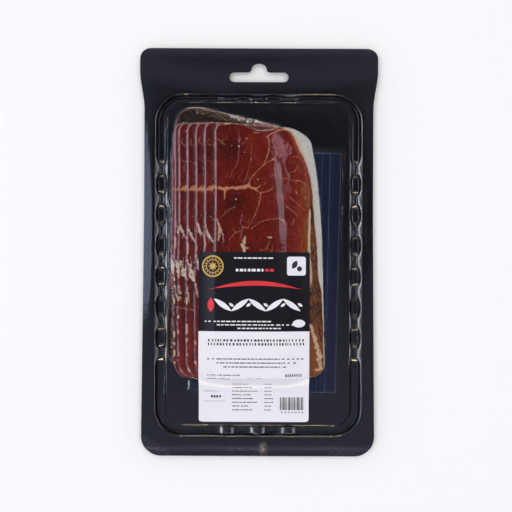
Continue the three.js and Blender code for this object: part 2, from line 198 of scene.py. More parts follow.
def noise(x, y, size, seed):
    """Smooth noise from -1 to 1 with features about size across."""
    p, q, r, factor = SCRAMBLE
    u = np.asarray(x, float) / size + seed * 17.31
    v = np.asarray(y, float) / size + seed * 9.73
    i, j = np.floor(u), np.floor(v)
    f, g = u - i, v - j
    f, g = f * f * (3 - 2 * f), g * g * (3 - 2 * g)

    def lattice(a, b):
        value = np.sin(a * p + b * q + seed * r) * factor
        return value - np.floor(value)

    low = lattice(i, j) * (1 - f) + lattice(i + 1, j) * f
    high = lattice(i, j + 1) * (1 - f) + lattice(i + 1, j + 1) * f
    return (low * (1 - g) + high * g) * 2 - 1


def layered_noise(x, y, size, seed, layers=3):
    """Noise with finer layers on top, each half as wide and half as strong."""
    total = sum(noise(x, y, size / 2**n, seed + n) / 2**n for n in range(layers))
    return total / sum(1 / 2**n for n in range(layers))


def path_distance(x, y, path):
    """Distance from points to a path and the share of its length at the nearest place."""
    best, along = np.full(np.shape(x), np.inf), np.zeros(np.shape(x))
    points = np.asarray(path, float)
    lengths = np.hypot(*(points[1:] - points[:-1]).T)
    total, passed = lengths.sum(), 0.0
    for (ax, ay), (bx, by), length in zip(points[:-1], points[1:], lengths):
        share = ((x - ax) * (bx - ax) + (y - ay) * (by - ay)) / max(length**2, 1e-9)
        share = unit(share)
        gap = np.hypot(x - ax - share * (bx - ax), y - ay - share * (by - ay))
        nearer = gap < best
        best = np.where(nearer, gap, best)
        along = np.where(nearer, (passed + share * length) / total, along)
        passed += length
    return best, along


def ribbon(x, y, path, swell=None, soft=0.3):
    """A painted line through points with their own half widths, which swell may scale."""
    path = np.asarray(path, float)
    shade = np.zeros(np.shape(x))
    low, high = path[:, :2].min(axis=0) - 2.0, path[:, :2].max(axis=0) + 2.0
    near = (x > low[0]) & (x < high[0]) & (y > low[1]) & (y < high[1])
    if near.any():
        gap, along = path_distance(x[near], y[near], path[:, :2])
        lengths = np.hypot(*(path[1:, :2] - path[:-1, :2]).T)
        at = np.concatenate([[0], np.cumsum(lengths)]) / lengths.sum()
        half = np.interp(along, at, path[:, 2]) * (1 if swell is None else swell[near])
        shade[near] = unit((half - gap) / soft + 0.5)
    return shade


def ridges(x, y, size, seed, sharp=0.93):
    """Thin winding lines where noise changes sign."""
    return smoothstep(1 - np.abs(layered_noise(x, y, size, seed, 2)), sharp, 1.0)


def polygon_depth(x, y, polygon):
    """How deep points lie inside a closed polygon; negative outside."""
    closed = np.vstack([polygon, polygon[:1]])
    gap, _ = path_distance(x, y, closed)
    inside = np.zeros(np.shape(x), bool)
    for (ax, ay), (bx, by) in zip(closed[:-1], closed[1:]):
        crosses = (ay > y) != (by > y)
        at = ax + (y - ay) * (bx - ax) / (by - ay if by != ay else 1e-9)
        inside ^= crosses & (x < at)
    return np.where(inside, gap, -gap)


def smooth_path(points, steps):
    """Points on a smooth line through the given ones, steps of them for each span."""
    points = np.asarray(points, float)
    padded = np.vstack([2 * points[0] - points[1], points, 2 * points[-1] - points[-2]])
    share = np.linspace(0, 1, steps, endpoint=False)[:, None]
    spans = []
    for a, b, c, d in zip(padded[:-3], padded[1:-2], padded[2:-1], padded[3:]):
        spans.append(0.5 * (2 * b + (c - a) * share + (2 * a - 5 * b + 4 * c - d) * share**2
                            + (3 * b - a - 3 * c + d) * share**3))
    return np.vstack([*spans, points[-1:]])


# ---- Meshes


def new_piece(name, points, faces, smooth=True):
    """A mesh object from points in millimetres, in the collection of the scene."""
    mesh = bpy.data.meshes.new(name)
    mesh.from_pydata((np.asarray(points, float) * MM).tolist(), [],
                     faces.tolist() if isinstance(faces, np.ndarray) else faces)
    mesh.validate()
    if smooth:
        mesh.shade_smooth()
    piece = bpy.data.objects.new(name, mesh)
    bpy.context.scene.collection.objects.link(piece)
    return piece


def set_attributes(piece, values):
    """Named numbers for every vertex, which node trees can read."""
    for name, numbers in values.items():
        attribute = piece.data.attributes.new(name, "FLOAT", "POINT")
        attribute.data.foreach_set("value", np.ravel(numbers).astype(np.float32))


def as_points(*parts):
    """Coordinate arrays of one shape, as rows of points."""
    return np.column_stack([np.ravel(part) for part in parts])


def grid_faces(rows, columns, closed=False):
    """Quads of a grid of points that runs rightwards in rows stacked upwards."""
    wrap = columns if closed else columns - 1
    i, j = np.meshgrid(np.arange(wrap), np.arange(rows - 1))
    right = (i + 1) % columns
    return np.stack([j * columns + i, j * columns + right,
                     (j + 1) * columns + right, (j + 1) * columns + i], -1).reshape(-1, 4)


def settle(piece):
    """The result of the piece's modifiers becomes its own mesh."""
    shape = piece.evaluated_get(bpy.context.evaluated_depsgraph_get())
    mesh = bpy.data.meshes.new_from_object(shape)
    plain = piece.data
    piece.modifiers.clear()
    piece.data = mesh
    bpy.data.meshes.remove(plain)
    mesh.name = piece.name


def add_thickness(piece, thickness, sharp=60.0):
    """The piece becomes a closed sheet with crisp cut edges, and grows downwards."""
    modifier = piece.modifiers.new("Sheet thickness", "SOLIDIFY")
    modifier.thickness = thickness
    modifier.offset = -1.0
    settle(piece)
    piece.data.set_sharp_from_angle(angle=math.radians(sharp))


def closed_grid(name, x, y, z, under):
    """A closed sheet: a fine grid on top, a rim, and a coarse underside at heights under()."""
    rows, columns = x.shape
    number = np.arange(rows * columns).reshape(rows, columns)
    loop = np.concatenate([number[0, :-1], number[:-1, -1], number[-1, :0:-1], number[:0:-1, 0]])
    top = as_points(x, y, z)
    border = top[loop, :2]
    low, high = border.min(axis=0), border.max(axis=0)
    flat, lower = fill_between(border, [], scattered(low, high, step=4.0, seed=5))
    if not np.allclose(flat[:len(border)], border, atol=1e-4):
        raise RuntimeError(f"{name}: the underside doesn't meet the rim")
    bottom = np.column_stack([flat, under(*flat.T)])
    count, start = len(loop), len(top)
    here = np.arange(count)
    after = (here + 1) % count
    walls = np.column_stack([loop, start + here, start + after, loop[after]])
    faces = [*grid_faces(rows, columns).tolist(), *walls.tolist(),
             *(lower[:, ::-1] + start).tolist()]
    piece = new_piece(name, np.vstack([top, bottom]), faces)
    piece.data.set_sharp_from_angle(angle=math.radians(50))
    return piece


def inside_of(points, loops, margin):
    """Which points lie inside the first loop and outside the others, by a margin."""
    inside = polygon_depth(*points.T, loops[0]) > margin
    for hole in loops[1:]:
        inside &= polygon_depth(*points.T, hole) < -margin
    return inside


def fill_between(outer, holes, extra, margin=0.3):
    """Triangles between an outer loop and hole loops, with extra points inside.

    Loops and points are in the plane. Returns all points and the triangles, facing up.
    """
    loops = [np.asarray(loop, float) for loop in (outer, *holes)]
    edges, start = [], 0
    for loop in loops:
        count = len(loop)
        edges += [(start + n, start + (n + 1) % count) for n in range(count)]
        start += count
    points = np.vstack([*loops, extra[inside_of(extra, loops, margin)]])
    made = delaunay_2d_cdt([Vector(p) for p in points.tolist()], edges, [], 0, 1e-6)
    verts, faces = np.array([tuple(v) for v in made[0]]), np.array(made[2])
    faces = faces[inside_of(verts[faces].mean(axis=1), loops, 0)]
    a, b, c = (verts[faces[:, n]] for n in range(3))
    turn = (b[:, 0] - a[:, 0]) * (c[:, 1] - a[:, 1]) - (b[:, 1] - a[:, 1]) * (c[:, 0] - a[:, 0])
    faces[turn < 0] = faces[turn < 0][:, ::-1]
    return verts, faces


def scattered(low, high, step, seed, row_height=0.87, jitter=0.3):
    """Points on a loosened triangular grid over a rectangle."""
    rng = np.random.default_rng(seed)
    rows = []
    for n, y in enumerate(np.arange(low[1], high[1], step * row_height)):
        xs = np.arange(low[0] + (n % 2) * step / 2, high[0], step)
        rows.append(np.column_stack([xs, np.full(len(xs), y)]))
    points = np.vstack(rows)
    return points + rng.uniform(-jitter, jitter, points.shape) * step


def merge_parts(parts):
    """Joins parts of points and faces, and welds points that share a place."""
    faces, start = [], 0
    for part_points, part_faces in parts:
        faces += (part_faces + start).tolist()
        start += len(part_points)
    points = np.vstack([part_points for part_points, _ in parts])
    _, first, number = np.unique(np.round(points[:, :2], 3), axis=0, return_index=True,
                                 return_inverse=True)
    number = number.reshape(-1).tolist()
    welded = []
    for face in faces:
        corners = [number[i] for i in face]
        corners = [c for n, c in enumerate(corners) if c != corners[n - 1]]
        if len(set(corners)) > 2:
            welded.append(corners)
    return points[first], welded


# ---- Node trees


class Graph:
    """Short hand for building a node tree."""

    def __init__(self, tree):
        self.tree = tree

    def node(self, kind, inputs=None, **settings):
        node = self.tree.nodes.new(kind)
        for key, value in settings.items():
            setattr(node, key, value)
        for key, value in (inputs or {}).items():
            if isinstance(value, NodeSocket):
                self.tree.links.new(value, node.inputs[key])
            else:
                node.inputs[key].default_value = value
        return node

    def math(self, operation, first, second=0.0, third=0.0, clamp=False):
        node = self.node("ShaderNodeMath", {0: first, 1: second, 2: third},
                         operation=operation, use_clamp=clamp)
        return node.outputs[0]

    def times(self, first, second, clamp=False):
        return self.math("MULTIPLY", first, second, clamp=clamp)

    def plus(self, first, second):
        return self.math("ADD", first, second)

    def noise(self, place, size, detail=3.0, roughness=0.55, distortion=0.0):
        """Noise whose features are about size metres across."""
        return self.node("ShaderNodeTexNoise", {
            "Vector": place, "Scale": 1.0 / size, "Detail": detail,
            "Roughness": roughness, "Distortion": distortion,
        }).outputs["Fac"]

    def ramp(self, value, stops):
        """A smooth ramp of grey or colour stops."""
        node = self.node("ShaderNodeValToRGB", {"Fac": value})
        elements = node.color_ramp.elements
        while len(elements) < len(stops):
            elements.new(0.5)
        for element, (at, colour) in zip(elements, stops):
            element.position = at
            grey = isinstance(colour, (int, float))
            element.color = (colour, colour, colour, 1) if grey else (*colour, 1)
        return node.outputs["Color"]

    def spread(self, value, low, high, to_low=0.0, to_high=1.0):
        return self.node("ShaderNodeMapRange", {
            "Value": value, "From Min": low, "From Max": high,
            "To Min": to_low, "To Max": to_high,
        }).outputs["Result"]

    def mix(self, share, first, second, blend="MIX"):
        """Mixes two colours."""
        first, second = (colour if isinstance(colour, NodeSocket) else (*colour, 1)
                         for colour in (first, second))
        return self.node("ShaderNodeMix", {0: share, 6: first, 7: second},
                         data_type="RGBA", blend_type=blend).outputs[2]

    def attribute(self, name):
        return self.node("ShaderNodeAttribute", attribute_name=name).outputs["Fac"]

    def vector(self, *parts):
        return self.node("ShaderNodeCombineXYZ", dict(enumerate(parts))).outputs[0]

    def place(self):
        return self.node("ShaderNodeTexCoord").outputs["Object"]

    def grained(self, place, scale, turn):
        """Places drawn out along one way of the sheet."""
        return self.node("ShaderNodeMapping", {
            "Vector": place, "Scale": (1.0, scale, 1.0), "Rotation": (0, 0, turn),
        }).outputs[0]

    def bump(self, height, strength, distance):
        return self.node("ShaderNodeBump", {
            "Height": height, "Strength": strength, "Distance": distance,
        }).outputs["Normal"]


    def shared(self, share, first, second):
        """Mixes two shaders."""
        return self.node("ShaderNodeMixShader", {0: share, 1: first, 2: second}).outputs[0]

    def principled(self, colour, roughness, ior, normal):
        return self.node("ShaderNodeBsdfPrincipled", {
            "Base Color": colour, "Roughness": roughness, "IOR": ior, "Normal": normal,
        }).outputs[0]


def new_nodes(owner):
    """The emptied graph of a material or a world."""
    owner.use_nodes = True
    owner.node_tree.nodes.clear()
    return Graph(owner.node_tree)


def new_material(name, surface, *looks):
    """A material whose shader surface() makes on its graph, from the given looks."""
    material = bpy.data.materials.new(name)
    graph = new_nodes(material)
    graph.node("ShaderNodeOutputMaterial", {"Surface": surface(graph, *looks)})
    return material


def geometry_tree(name, inputs):
    """A geometry tree that takes a mesh and named inputs; returns it with its ends."""
    tree = bpy.data.node_groups.new(name, "GeometryNodeTree")
    tree.interface.new_socket("Geometry", in_out="INPUT", socket_type="NodeSocketGeometry")
    for label, kind in inputs.items():
        tree.interface.new_socket(label, in_out="INPUT", socket_type="NodeSocket" + kind)
    tree.interface.new_socket("Geometry", in_out="OUTPUT", socket_type="NodeSocketGeometry")
    graph = Graph(tree)
    return tree, graph, graph.node("NodeGroupInput"), graph.node("NodeGroupOutput")


def grow(piece, tree, values):
    """Runs the tree on a piece with the given inputs and keeps what it makes."""
    modifier = piece.modifiers.new(tree.name, "NODES")
    modifier.node_group = tree
    for item in tree.interface.items_tree:
        if item.in_out == "INPUT" and item.name in values:
            modifier[item.identifier] = values[item.name]
    settle(piece)


def bar_tree():
    """Flat bars on the points of a mesh, with lengths and heights from its attributes."""
    tree, graph, start, end = geometry_tree("Printed bars", {
        "Thickness": "Float", "Material": "Material"})
    length, height = (
        graph.node("GeometryNodeInputNamedAttribute", {"Name": name}).outputs[0]
        for name in ("length", "height"))
    bar = graph.node("GeometryNodeMeshCube", {"Size": (1, 1, 1)})
    scale = graph.vector(length, height, start.outputs["Thickness"])
    points = graph.node("GeometryNodeMeshToPoints", {"Mesh": start.outputs[0]})
    bars = graph.node("GeometryNodeInstanceOnPoints", {
        "Points": points.outputs[0], "Instance": bar.outputs[0], "Scale": scale})
    finish_geometry(graph, bars.outputs[0], start, end)
    return tree


def scatter_tree(name, slender):
    """Crumbs, or slender fibres that lie along x, scattered over a mesh."""
    tree, graph, start, end = geometry_tree(name, {
        "Density": "Float", "Size": "Float", "Turn": "Float", "Seed": "Int",
        "Material": "Material"})
    points = graph.node("GeometryNodeDistributePointsOnFaces", {
        "Mesh": start.outputs[0], "Density": start.outputs["Density"],
        "Seed": start.outputs["Seed"]})
    if slender:
        grain = graph.node("GeometryNodeMeshCylinder", {
            "Vertices": 5, "Radius": 0.095, "Depth": 2.2})
        grain = graph.node("GeometryNodeTransform", {
            "Geometry": grain.outputs[0], "Rotation": (0, math.pi / 2, 0)})
    else:
        grain = graph.node("GeometryNodeMeshIcoSphere", {"Radius": 0.4, "Subdivisions": 1})

    def between(low, high, shift):
        """Random vectors between two, which don't follow those of another shift."""
        return graph.node("FunctionNodeRandomValue", {
            0: graph.vector(*low), 1: graph.vector(*high),
            "Seed": graph.plus(start.outputs["Seed"], shift),
        }, data_type="FLOAT_VECTOR").outputs[0]

    turn, size = start.outputs["Turn"], start.outputs["Size"]
    tilt = 0.6 if slender else math.pi
    small = graph.times(size, 0.45)
    grains = graph.node("GeometryNodeInstanceOnPoints", {
        "Points": points.outputs[0], "Instance": grain.outputs[0],
        "Rotation": between((-tilt, -tilt, graph.times(turn, -1.0)), (tilt, tilt, turn), 1),
        "Scale": between((small, small, small), (graph.times(size, 1.3), size, size), 2)})
    finish_geometry(graph, grains.outputs[0], start, end)
    return tree


def finish_geometry(graph, shape, start, end):
    """Instances become real and take the tree's material."""
    real = graph.node("GeometryNodeRealizeInstances", {0: shape})
    done = graph.node("GeometryNodeSetMaterial", {
        "Geometry": real.outputs[0], "Material": start.outputs["Material"]})
    graph.tree.links.new(done.outputs[0], end.inputs[0])


# ---- Shapes of the pack


def half_width(y):
    flare = smoothstep(y, *FLARE) * (FLAP_WIDTH - WAIST_WIDTH)
    taper = np.clip((WAIST_FROM - np.asarray(y, float)) / (WAIST_FROM + PACK_LENGTH / 2), 0, 1)
    return (WAIST_WIDTH + flare + taper * (FOOT_WIDTH - WAIST_WIDTH)) / 2


def arc(middle, radius, start, end, steps):
    """Points on an arc; radius may be a pair for an ellipse. Angles in degrees."""
    rx, ry = radius if isinstance(radius, tuple) else (radius, radius)
    turn = np.radians(np.linspace(start, end, steps + 1))
    return np.column_stack([middle[0] + rx * np.cos(turn), middle[1] + ry * np.sin(turn)])


def pack_outline(step):
    """The tray's outline, counterclockwise."""
    flap_corner = PACK_LENGTH / 2 - FLAP_CORNER_RADIUS
    foot_corner = FOOT_CORNER_RADIUS - PACK_LENGTH / 2
    flap_side = half_width(flap_corner) - FLAP_CORNER_RADIUS
    foot_side = half_width(foot_corner) - FOOT_CORNER_RADIUS
    ys = np.linspace(foot_corner, flap_corner, int((flap_corner - foot_corner) / step))[1:-1]
    side = np.column_stack([half_width(ys), ys])
    top = np.linspace(flap_side, -flap_side, int(2 * flap_side / step))[1:-1]
    foot = np.linspace(-foot_side, foot_side, int(2 * foot_side / step))[1:-1]
    return np.vstack([
        side,
        arc((flap_side, flap_corner), FLAP_CORNER_RADIUS, 0, 90, 10),
        np.column_stack([top, np.full(len(top), PACK_LENGTH / 2)]),
        arc((-flap_side, flap_corner), FLAP_CORNER_RADIUS, 90, 180, 10),
        side[::-1] * (-1, 1),
        arc((-foot_side, foot_corner), FOOT_CORNER_RADIUS, 180, 270, 14),
        np.column_stack([foot, np.full(len(foot), -PACK_LENGTH / 2)]),
        arc((foot_side, foot_corner), FOOT_CORNER_RADIUS, 270, 360, 14),
    ])


def hanging_hole(grow=0.0):
    """The hanging slot with its rounded hump, counterclockwise; grow widens it."""
    end = (SLOT_WIDTH - SLOT_HEIGHT) / 2
    radius = SLOT_HEIGHT / 2 + grow
    flare = HUMP_FLARE - grow
    flare_x = HUMP_WIDTH / 2 + HUMP_FLARE
    flare_y = HOLE_MIDDLE + SLOT_HEIGHT / 2 + HUMP_FLARE
    crown = (HUMP_WIDTH / 2 + grow, HUMP_HEIGHT - HUMP_FLARE + grow)
    return np.vstack([
        arc((end, HOLE_MIDDLE), radius, -90, 90, 12),
        arc((flare_x, flare_y), flare, 270, 180, 6),
        arc((0, flare_y), crown, 0, 180, 14)[1:-1],
        arc((-flare_x, flare_y), flare, 360, 270, 6),
        arc((-end, HOLE_MIDDLE), radius, 90, 270, 12),
    ])


def saddle_shares(at, count, flared):
    """Rise and narrowing of the channel's floor along a side, and spread of its lips."""
    nearest = np.clip(np.round(at / SADDLE_PITCH + (count - 1) / 2), 0, count - 1)
    gap = np.abs(at - (nearest - (count - 1) / 2) * SADDLE_PITCH)
    crest, foot = FLARED_SADDLE if flared else PLAIN_SADDLE
    straight = unit((foot - gap) / (foot - crest))
    rise = 0.75 * straight + 0.25 * smoothstep(gap, foot, crest)
    if flared:
        return np.column_stack([rise, rise, smoothstep(gap, LIP_REACH, 0.5)])
    return np.column_stack([rise, 0.25 * rise, 0.22 * (1 - rise)])


def channel_stations(step):
    """Points all around the channel's two loops, counterclockwise, and their shares."""
    half_o, top_o, foot_o, radius_o = CHANNEL_OUTER
    half_i, top_i, foot_i, radius_i = CHANNEL_INNER
    side_o = (foot_o + radius_o, top_o - radius_o)
    side_i = (foot_i + radius_i, top_i - radius_i)
    ys = np.linspace(*side_o, int((side_o[1] - side_o[0]) / step))[1:-1]
    stretch = (side_i[1] - SKEW_FROM) / (side_o[1] - SKEW_FROM)
    ys_inner = np.where(ys > SKEW_FROM, SKEW_FROM + (ys - SKEW_FROM) * stretch, ys)
    xs = np.linspace(half_o - radius_o, radius_o - half_o, int(2 * (half_o - radius_o) / step))
    xs = xs[1:-1]
    xs_inner = xs * (half_i - radius_i) / (half_o - radius_o)
    turns = max(int(radius_o * math.pi / 2 / step), 6)
    outer, inner, share = [], [], []

    def straight(at_outer, at_inner, along, count, flared=True):
        outer.append(at_outer)
        inner.append(at_inner)
        share.append(saddle_shares(along, count, flared))

    def corner(sign_x, sign_y, start):
        for loop, store in ((CHANNEL_OUTER, outer), (CHANNEL_INNER, inner)):
            half, top, foot, radius = loop
            middle_y = top - radius if sign_y > 0 else foot + radius
            store.append(arc((sign_x * (half - radius), middle_y), radius,
                             start, start + 90, turns))
        share.append(np.zeros((turns + 1, 3)))

    def columns(a, b):
        return np.column_stack(np.broadcast_arrays(a, b))

    side = ys - SIDE_SADDLE_MIDDLE
    straight(columns(half_o, ys), columns(half_i, ys_inner), side, SIDE_SADDLES)
    corner(1, 1, 0)
    straight(columns(xs, top_o), columns(xs_inner, top_i), xs, END_SADDLES)
    corner(-1, 1, 90)
    straight(columns(-half_o, ys[::-1]), columns(-half_i, ys_inner[::-1]), side[::-1],
             SIDE_SADDLES)
    corner(-1, -1, 180)
    straight(columns(-xs, foot_o), columns(-xs_inner, foot_i), -xs, END_SADDLES,
             flared=False)
    corner(1, -1, 270)
    return np.vstack(outer), np.vstack(inner), np.vstack(share)


def flange_rise(x, y):
    """How far the flange bends away from its plane."""
    beyond = np.clip((np.abs(x) - 61.0) / 6.3, 0, 1.25) ** 2
    left = 0.16 + 0.36 * bump(y, 12.0, 42.0)
    right = 0.06 + 0.04 * noise(y, 0 * y, 40.0, 3)
    sides = -beyond * np.where(x < 0, left, right)
    streaks = 0.05 + 0.16 * bump(y, 22.0, 32.0)
    ripples = streaks * layered_noise(x * 3.0, y, 24.0, 9) * smoothstep(x, 61, 63)
    start = -112.4 + 0.9 * layered_noise(x, 0 * x, 22.0, 6)
    foot = -(1.1 + 0.2 * noise(x, 0 * x, 26.0, 8)) * smoothstep(y, start - 1.4, start - 4.8)
    dark_spot = 6.0 * np.exp(-(((x - 9) / 27) ** 2))
    level = y + 1.5 * noise(x, 0 * x, 40.0, 7) - 0.0022 * x * x - dark_spot
    flap = -0.55 * smoothstep(level, 91, 109) + 0.1 * noise(x, y, 30.0, 5) * smoothstep(y, 92, 102)
    edge = -0.5 * smoothstep(y, 117.8, 119.6)
    return sides + ripples * smoothstep(y, -105, -95) + foot + flap + edge


def channel_rings(stations, lift, samples=4):
    """Rings of points across the channel, from the flange to the platform, raised by lift."""
    outer, inner, share = stations
    rise, narrow, spread = share.T
    width = np.linalg.norm(inner - outer, axis=1)
    lip_o, lip_i = (low + (high - low) * spread for low, high in zip(POCKET_LIPS, SADDLE_LIPS))
    foot_o, foot_i = (low + (high - low) * narrow
                      for low, high in zip(POCKET_FLOOR, SADDLE_FLOOR))
    foot_o = np.maximum(foot_o, lip_o + 0.06)
    foot_i = np.minimum(foot_i, 0.94 - lip_i)
    floor = POCKET_TOP + (SADDLE_TOP - POCKET_TOP) * rise
    low_o = FLANGE_TOP - LIP_SLOPE * lip_o * width
    low_i = PLATFORM_TOP - LIP_SLOPE * lip_i * width
    profile = (
        (PROFILE_ENDS[0], FLANGE_TOP), (0.0, FLANGE_TOP), (lip_o, np.maximum(low_o, floor)),
        (foot_o, floor), (foot_i, floor), (1 - lip_i, np.maximum(low_i, floor)),
        (1.0, PLATFORM_TOP), (PROFILE_ENDS[1], PLATFORM_TOP))
    corners = []
    for fraction, height in profile:
        fraction = np.broadcast_to(fraction, width.shape)[:, None]
        height = np.broadcast_to(height, width.shape) + lift
        corners.append(np.column_stack([outer + (inner - outer) * fraction, height]))
    radii = (LIP_CORNER, LIP_CORNER, FLOOR_CORNER, FLOOR_CORNER, LIP_CORNER, LIP_CORNER)
    rings = [corners[0]]
    for radius, before, corner, after in zip(radii, corners, corners[1:], corners[2:]):
        start, end = (
            corner + way * np.minimum(0.48, radius / np.linalg.norm(way, axis=1))[:, None]
            for way in (before - corner, after - corner))
        for t in np.linspace(0, 1, samples + 1):
            rings.append(start * (1 - t) ** 2 + corner * 2 * t * (1 - t) + end * t * t)
    rings.append(corners[-1])
    for ring in rings[:4]:
        ring[:, 2] += flange_rise(ring[:, 0], ring[:, 1])
    return rings


def formed_sheet(step, lift, hole, inner_part):
    """The flange, the channel and what fills the middle, as one set of points and faces.

    Step is the distance of points along the channel. Lift raises flange and channel.
    Inner_part makes the middle from the loop around it.
    """
    rings = channel_rings(channel_stations(step), lift)
    channel = (np.vstack(rings), grid_faces(len(rings), len(rings[0]), closed=True))
    inside = np.vstack([scattered((-70, -108), (70, 120), 2.6, 4),
                        scattered((-66, -119.6), (66, -109.5), 1.1, 6)])
    points, faces = fill_between(pack_outline(2.0), [rings[0][:, :2], hole], inside)
    flange = (np.column_stack([points, FLANGE_TOP + flange_rise(*points.T) + lift]), faces)
    return merge_parts([flange, channel, inner_part(rings[-1][:, :2])])


# ---- Ham stack


def corner_inset(distance, size):
    """How far a rounded corner cuts in, at a distance from the slice's end."""
    width, height = size
    reach = unit(1 - distance / height)
    return width * (1 - np.sqrt(1 - reach * reach))


def drape_line(y):
    """Where the top slice comes down to the base on the right."""
    y = np.asarray(y, float)
    return RIGHT_EDGE - 0.026 * y - 0.0011 * np.maximum(0, y) ** 2


def edge_wave(y):
    return EDGE_WAVE * np.sin(2 * math.pi * np.asarray(y, float) / EDGE_WAVE_LENGTH)


def corner_insets(y, top, foot):
    return corner_inset(HAM_TOP - y, top) + corner_inset(y - HAM_FOOT, foot)


def slice_left(number, y):
    corners = corner_insets(y, TOP_LEFT_CORNER, FOOT_LEFT_CORNER)
    return SLICE_LEFT_EDGES[number] + edge_wave(y) + corners


def slice_right(number, y):
    corners = corner_insets(y, TOP_RIGHT_CORNER, FOOT_RIGHT_CORNER)
    return drape_line(y) - number * RIGHT_END_STEP - corners


def top_edge_fall(number, x):
    """How far the top edge of a slice lies below its straight line."""
    fall = TOP_EDGE_SLOPE * np.maximum(0, x - TOP_EDGE_SLOPE_FROM)
    if number == 0:
        low, high = TOP_EDGE_DIP_SPAN
        along = unit((x - low) / (high - low))
        fall = fall + TOP_EDGE_DIP * np.sin(math.pi * along) ** 2
    return fall


def flattened(number, x, y):
    """Height on a slice as if its top edge were straight, also kept within the slice."""
    flat_y = y + smoothstep(y, TOP_EDGE_FADE, HAM_TOP) * top_edge_fall(number, x)
    return flat_y, np.clip(flat_y, HAM_FOOT, HAM_TOP)


def left_drop(x):
    """The fan settles towards the platform where no separator sheet lies below it."""
    return smoothstep(x, *LEFT_SETTLING)


def right_drop(x, y):
    """The right border of the fan settles on the separator sheets."""
    return 0.95 * smoothstep(x, drape_line(y) - 9, drape_line(y) - 0.5)


def sheet_top(level, x, y):
    """Top of a separator sheet; the sheets lie closer together where the fan settles."""
    top = FIRST_SHEET + level * SHEET_PITCH + SHEET_THICKNESS - PLATFORM_TOP
    share = np.maximum(0.75 * smoothstep(x, *LEFT_SETTLING),
                       (0.62 + 0.06 * level) * smoothstep(x, drape_line(y) - 12,
                                                          drape_line(y) - 1))
    return PLATFORM_TOP + top * (1 - share)


def slice_base(number, x, y):
    """Underside of a slice: it rests on those below and comes down past their ends."""
    below = RIND_SLICE - (drape_line(y) - x) / RIGHT_END_STEP
    bend = DRAPE_BEND * np.log1p(np.exp(np.clip(below / DRAPE_BEND, -30, 30)))
    levels = np.maximum(RIND_SLICE - number - bend, 0)
    return STACK_BASE + SLICE_PITCH * levels - left_drop(x) - right_drop(x, y)


def rind_outline():
    """Outline of the lowest slice: curved on the left and the top, hidden elsewhere."""
    left = smooth_path(RIND_OUTLINE, 8)
    ys = np.linspace(69, HAM_FOOT + 12, 24)
    right = np.column_stack([drape_line(ys) - RIND_SLICE * RIGHT_END_STEP, ys])
    return np.vstack([left, [(11.6, 73.7), (-1, 74.5)], right, [(4, -63.8)]])[::-1]


def sheet_depth(level, x, y):
    """How deep points lie inside a separator sheet; negative outside."""
    middle = SHEET_RIGHT_EDGES[level] - SHEET_WIDTH / 2
    dx, dy = x - middle, y - SHEET_MIDDLE
    u = dx * math.cos(SHEET_TILT) - dy * math.sin(SHEET_TILT)
    v = dx * math.sin(SHEET_TILT) + dy * math.cos(SHEET_TILT)
    return np.minimum(SHEET_WIDTH / 2 - np.abs(u), SHEET_LENGTH / 2 - np.abs(v))


def slice_cover(number, x, y, soft):
    """1 where a slice lies, with an edge that is soft wide, 0 beside it."""
    flat_y, inside_y = flattened(number, x, y)
    depth = np.minimum(x - slice_left(number, inside_y), slice_right(number, inside_y) - x)
    depth = np.minimum(depth, np.minimum(HAM_TOP - flat_y, flat_y - HAM_FOOT))
    soft = np.where(x > 20, 0.2, soft)
    return smoothstep(depth, -soft, soft * 0.25)


def stack_height(x, y, thickness, soft=0.5):
    """Height of all that lies on the platform, with soft edges."""
    layers = [(sheet_top(level, x, y), smoothstep(sheet_depth(level, x, y), -2.2, 0.1))
              for level in range(len(SHEET_RIGHT_EDGES))]
    rind_cover = smoothstep(polygon_depth(x, y, rind_outline()), -soft, soft * 0.25)
    layers.append((STACK_BASE + thickness - left_drop(x), rind_cover))
    layers += [(slice_base(number, x, y) + thickness, slice_cover(number, x, y, soft))
               for number in reversed(range(RIND_SLICE))]
    height = np.full(np.shape(x), PLATFORM_TOP)
    for top, cover in layers:
        height = height + np.maximum(top - height, 0) * cover
    return height


def drawn_over(floor, rounds):
    """A skin over a floor, which bridges its steps a little more with every round."""
    height = floor
    for _ in range(rounds):
        padded = np.pad(height, 1, mode="edge")
        around = (padded[:-2, 1:-1] + padded[2:, 1:-1]
                  + padded[1:-1, :-2] + padded[1:-1, 2:]) / 4
        height = np.maximum(floor, around)
    return height


class Surface:
    """Heights on a grid of columns and rows, and at any place between them."""

    def __init__(self, columns, rows):
        self.columns, self.rows = columns, rows

    def grid(self):
        return np.meshgrid(self.columns, self.rows)

    def at(self, x, y):
        column = np.interp(x, self.columns, np.arange(len(self.columns)))
        row = np.interp(y, self.rows, np.arange(len(self.rows)))
        i = np.clip(column.astype(int), 0, len(self.columns) - 2)
        j = np.clip(row.astype(int), 0, len(self.rows) - 2)
        f, g = column - i, row - j
        h = self.heights
        low = h[j, i] * (1 - f) + h[j, i + 1] * f
        high = h[j + 1, i] * (1 - f) + h[j + 1, i + 1] * f
        return low * (1 - g) + high * g


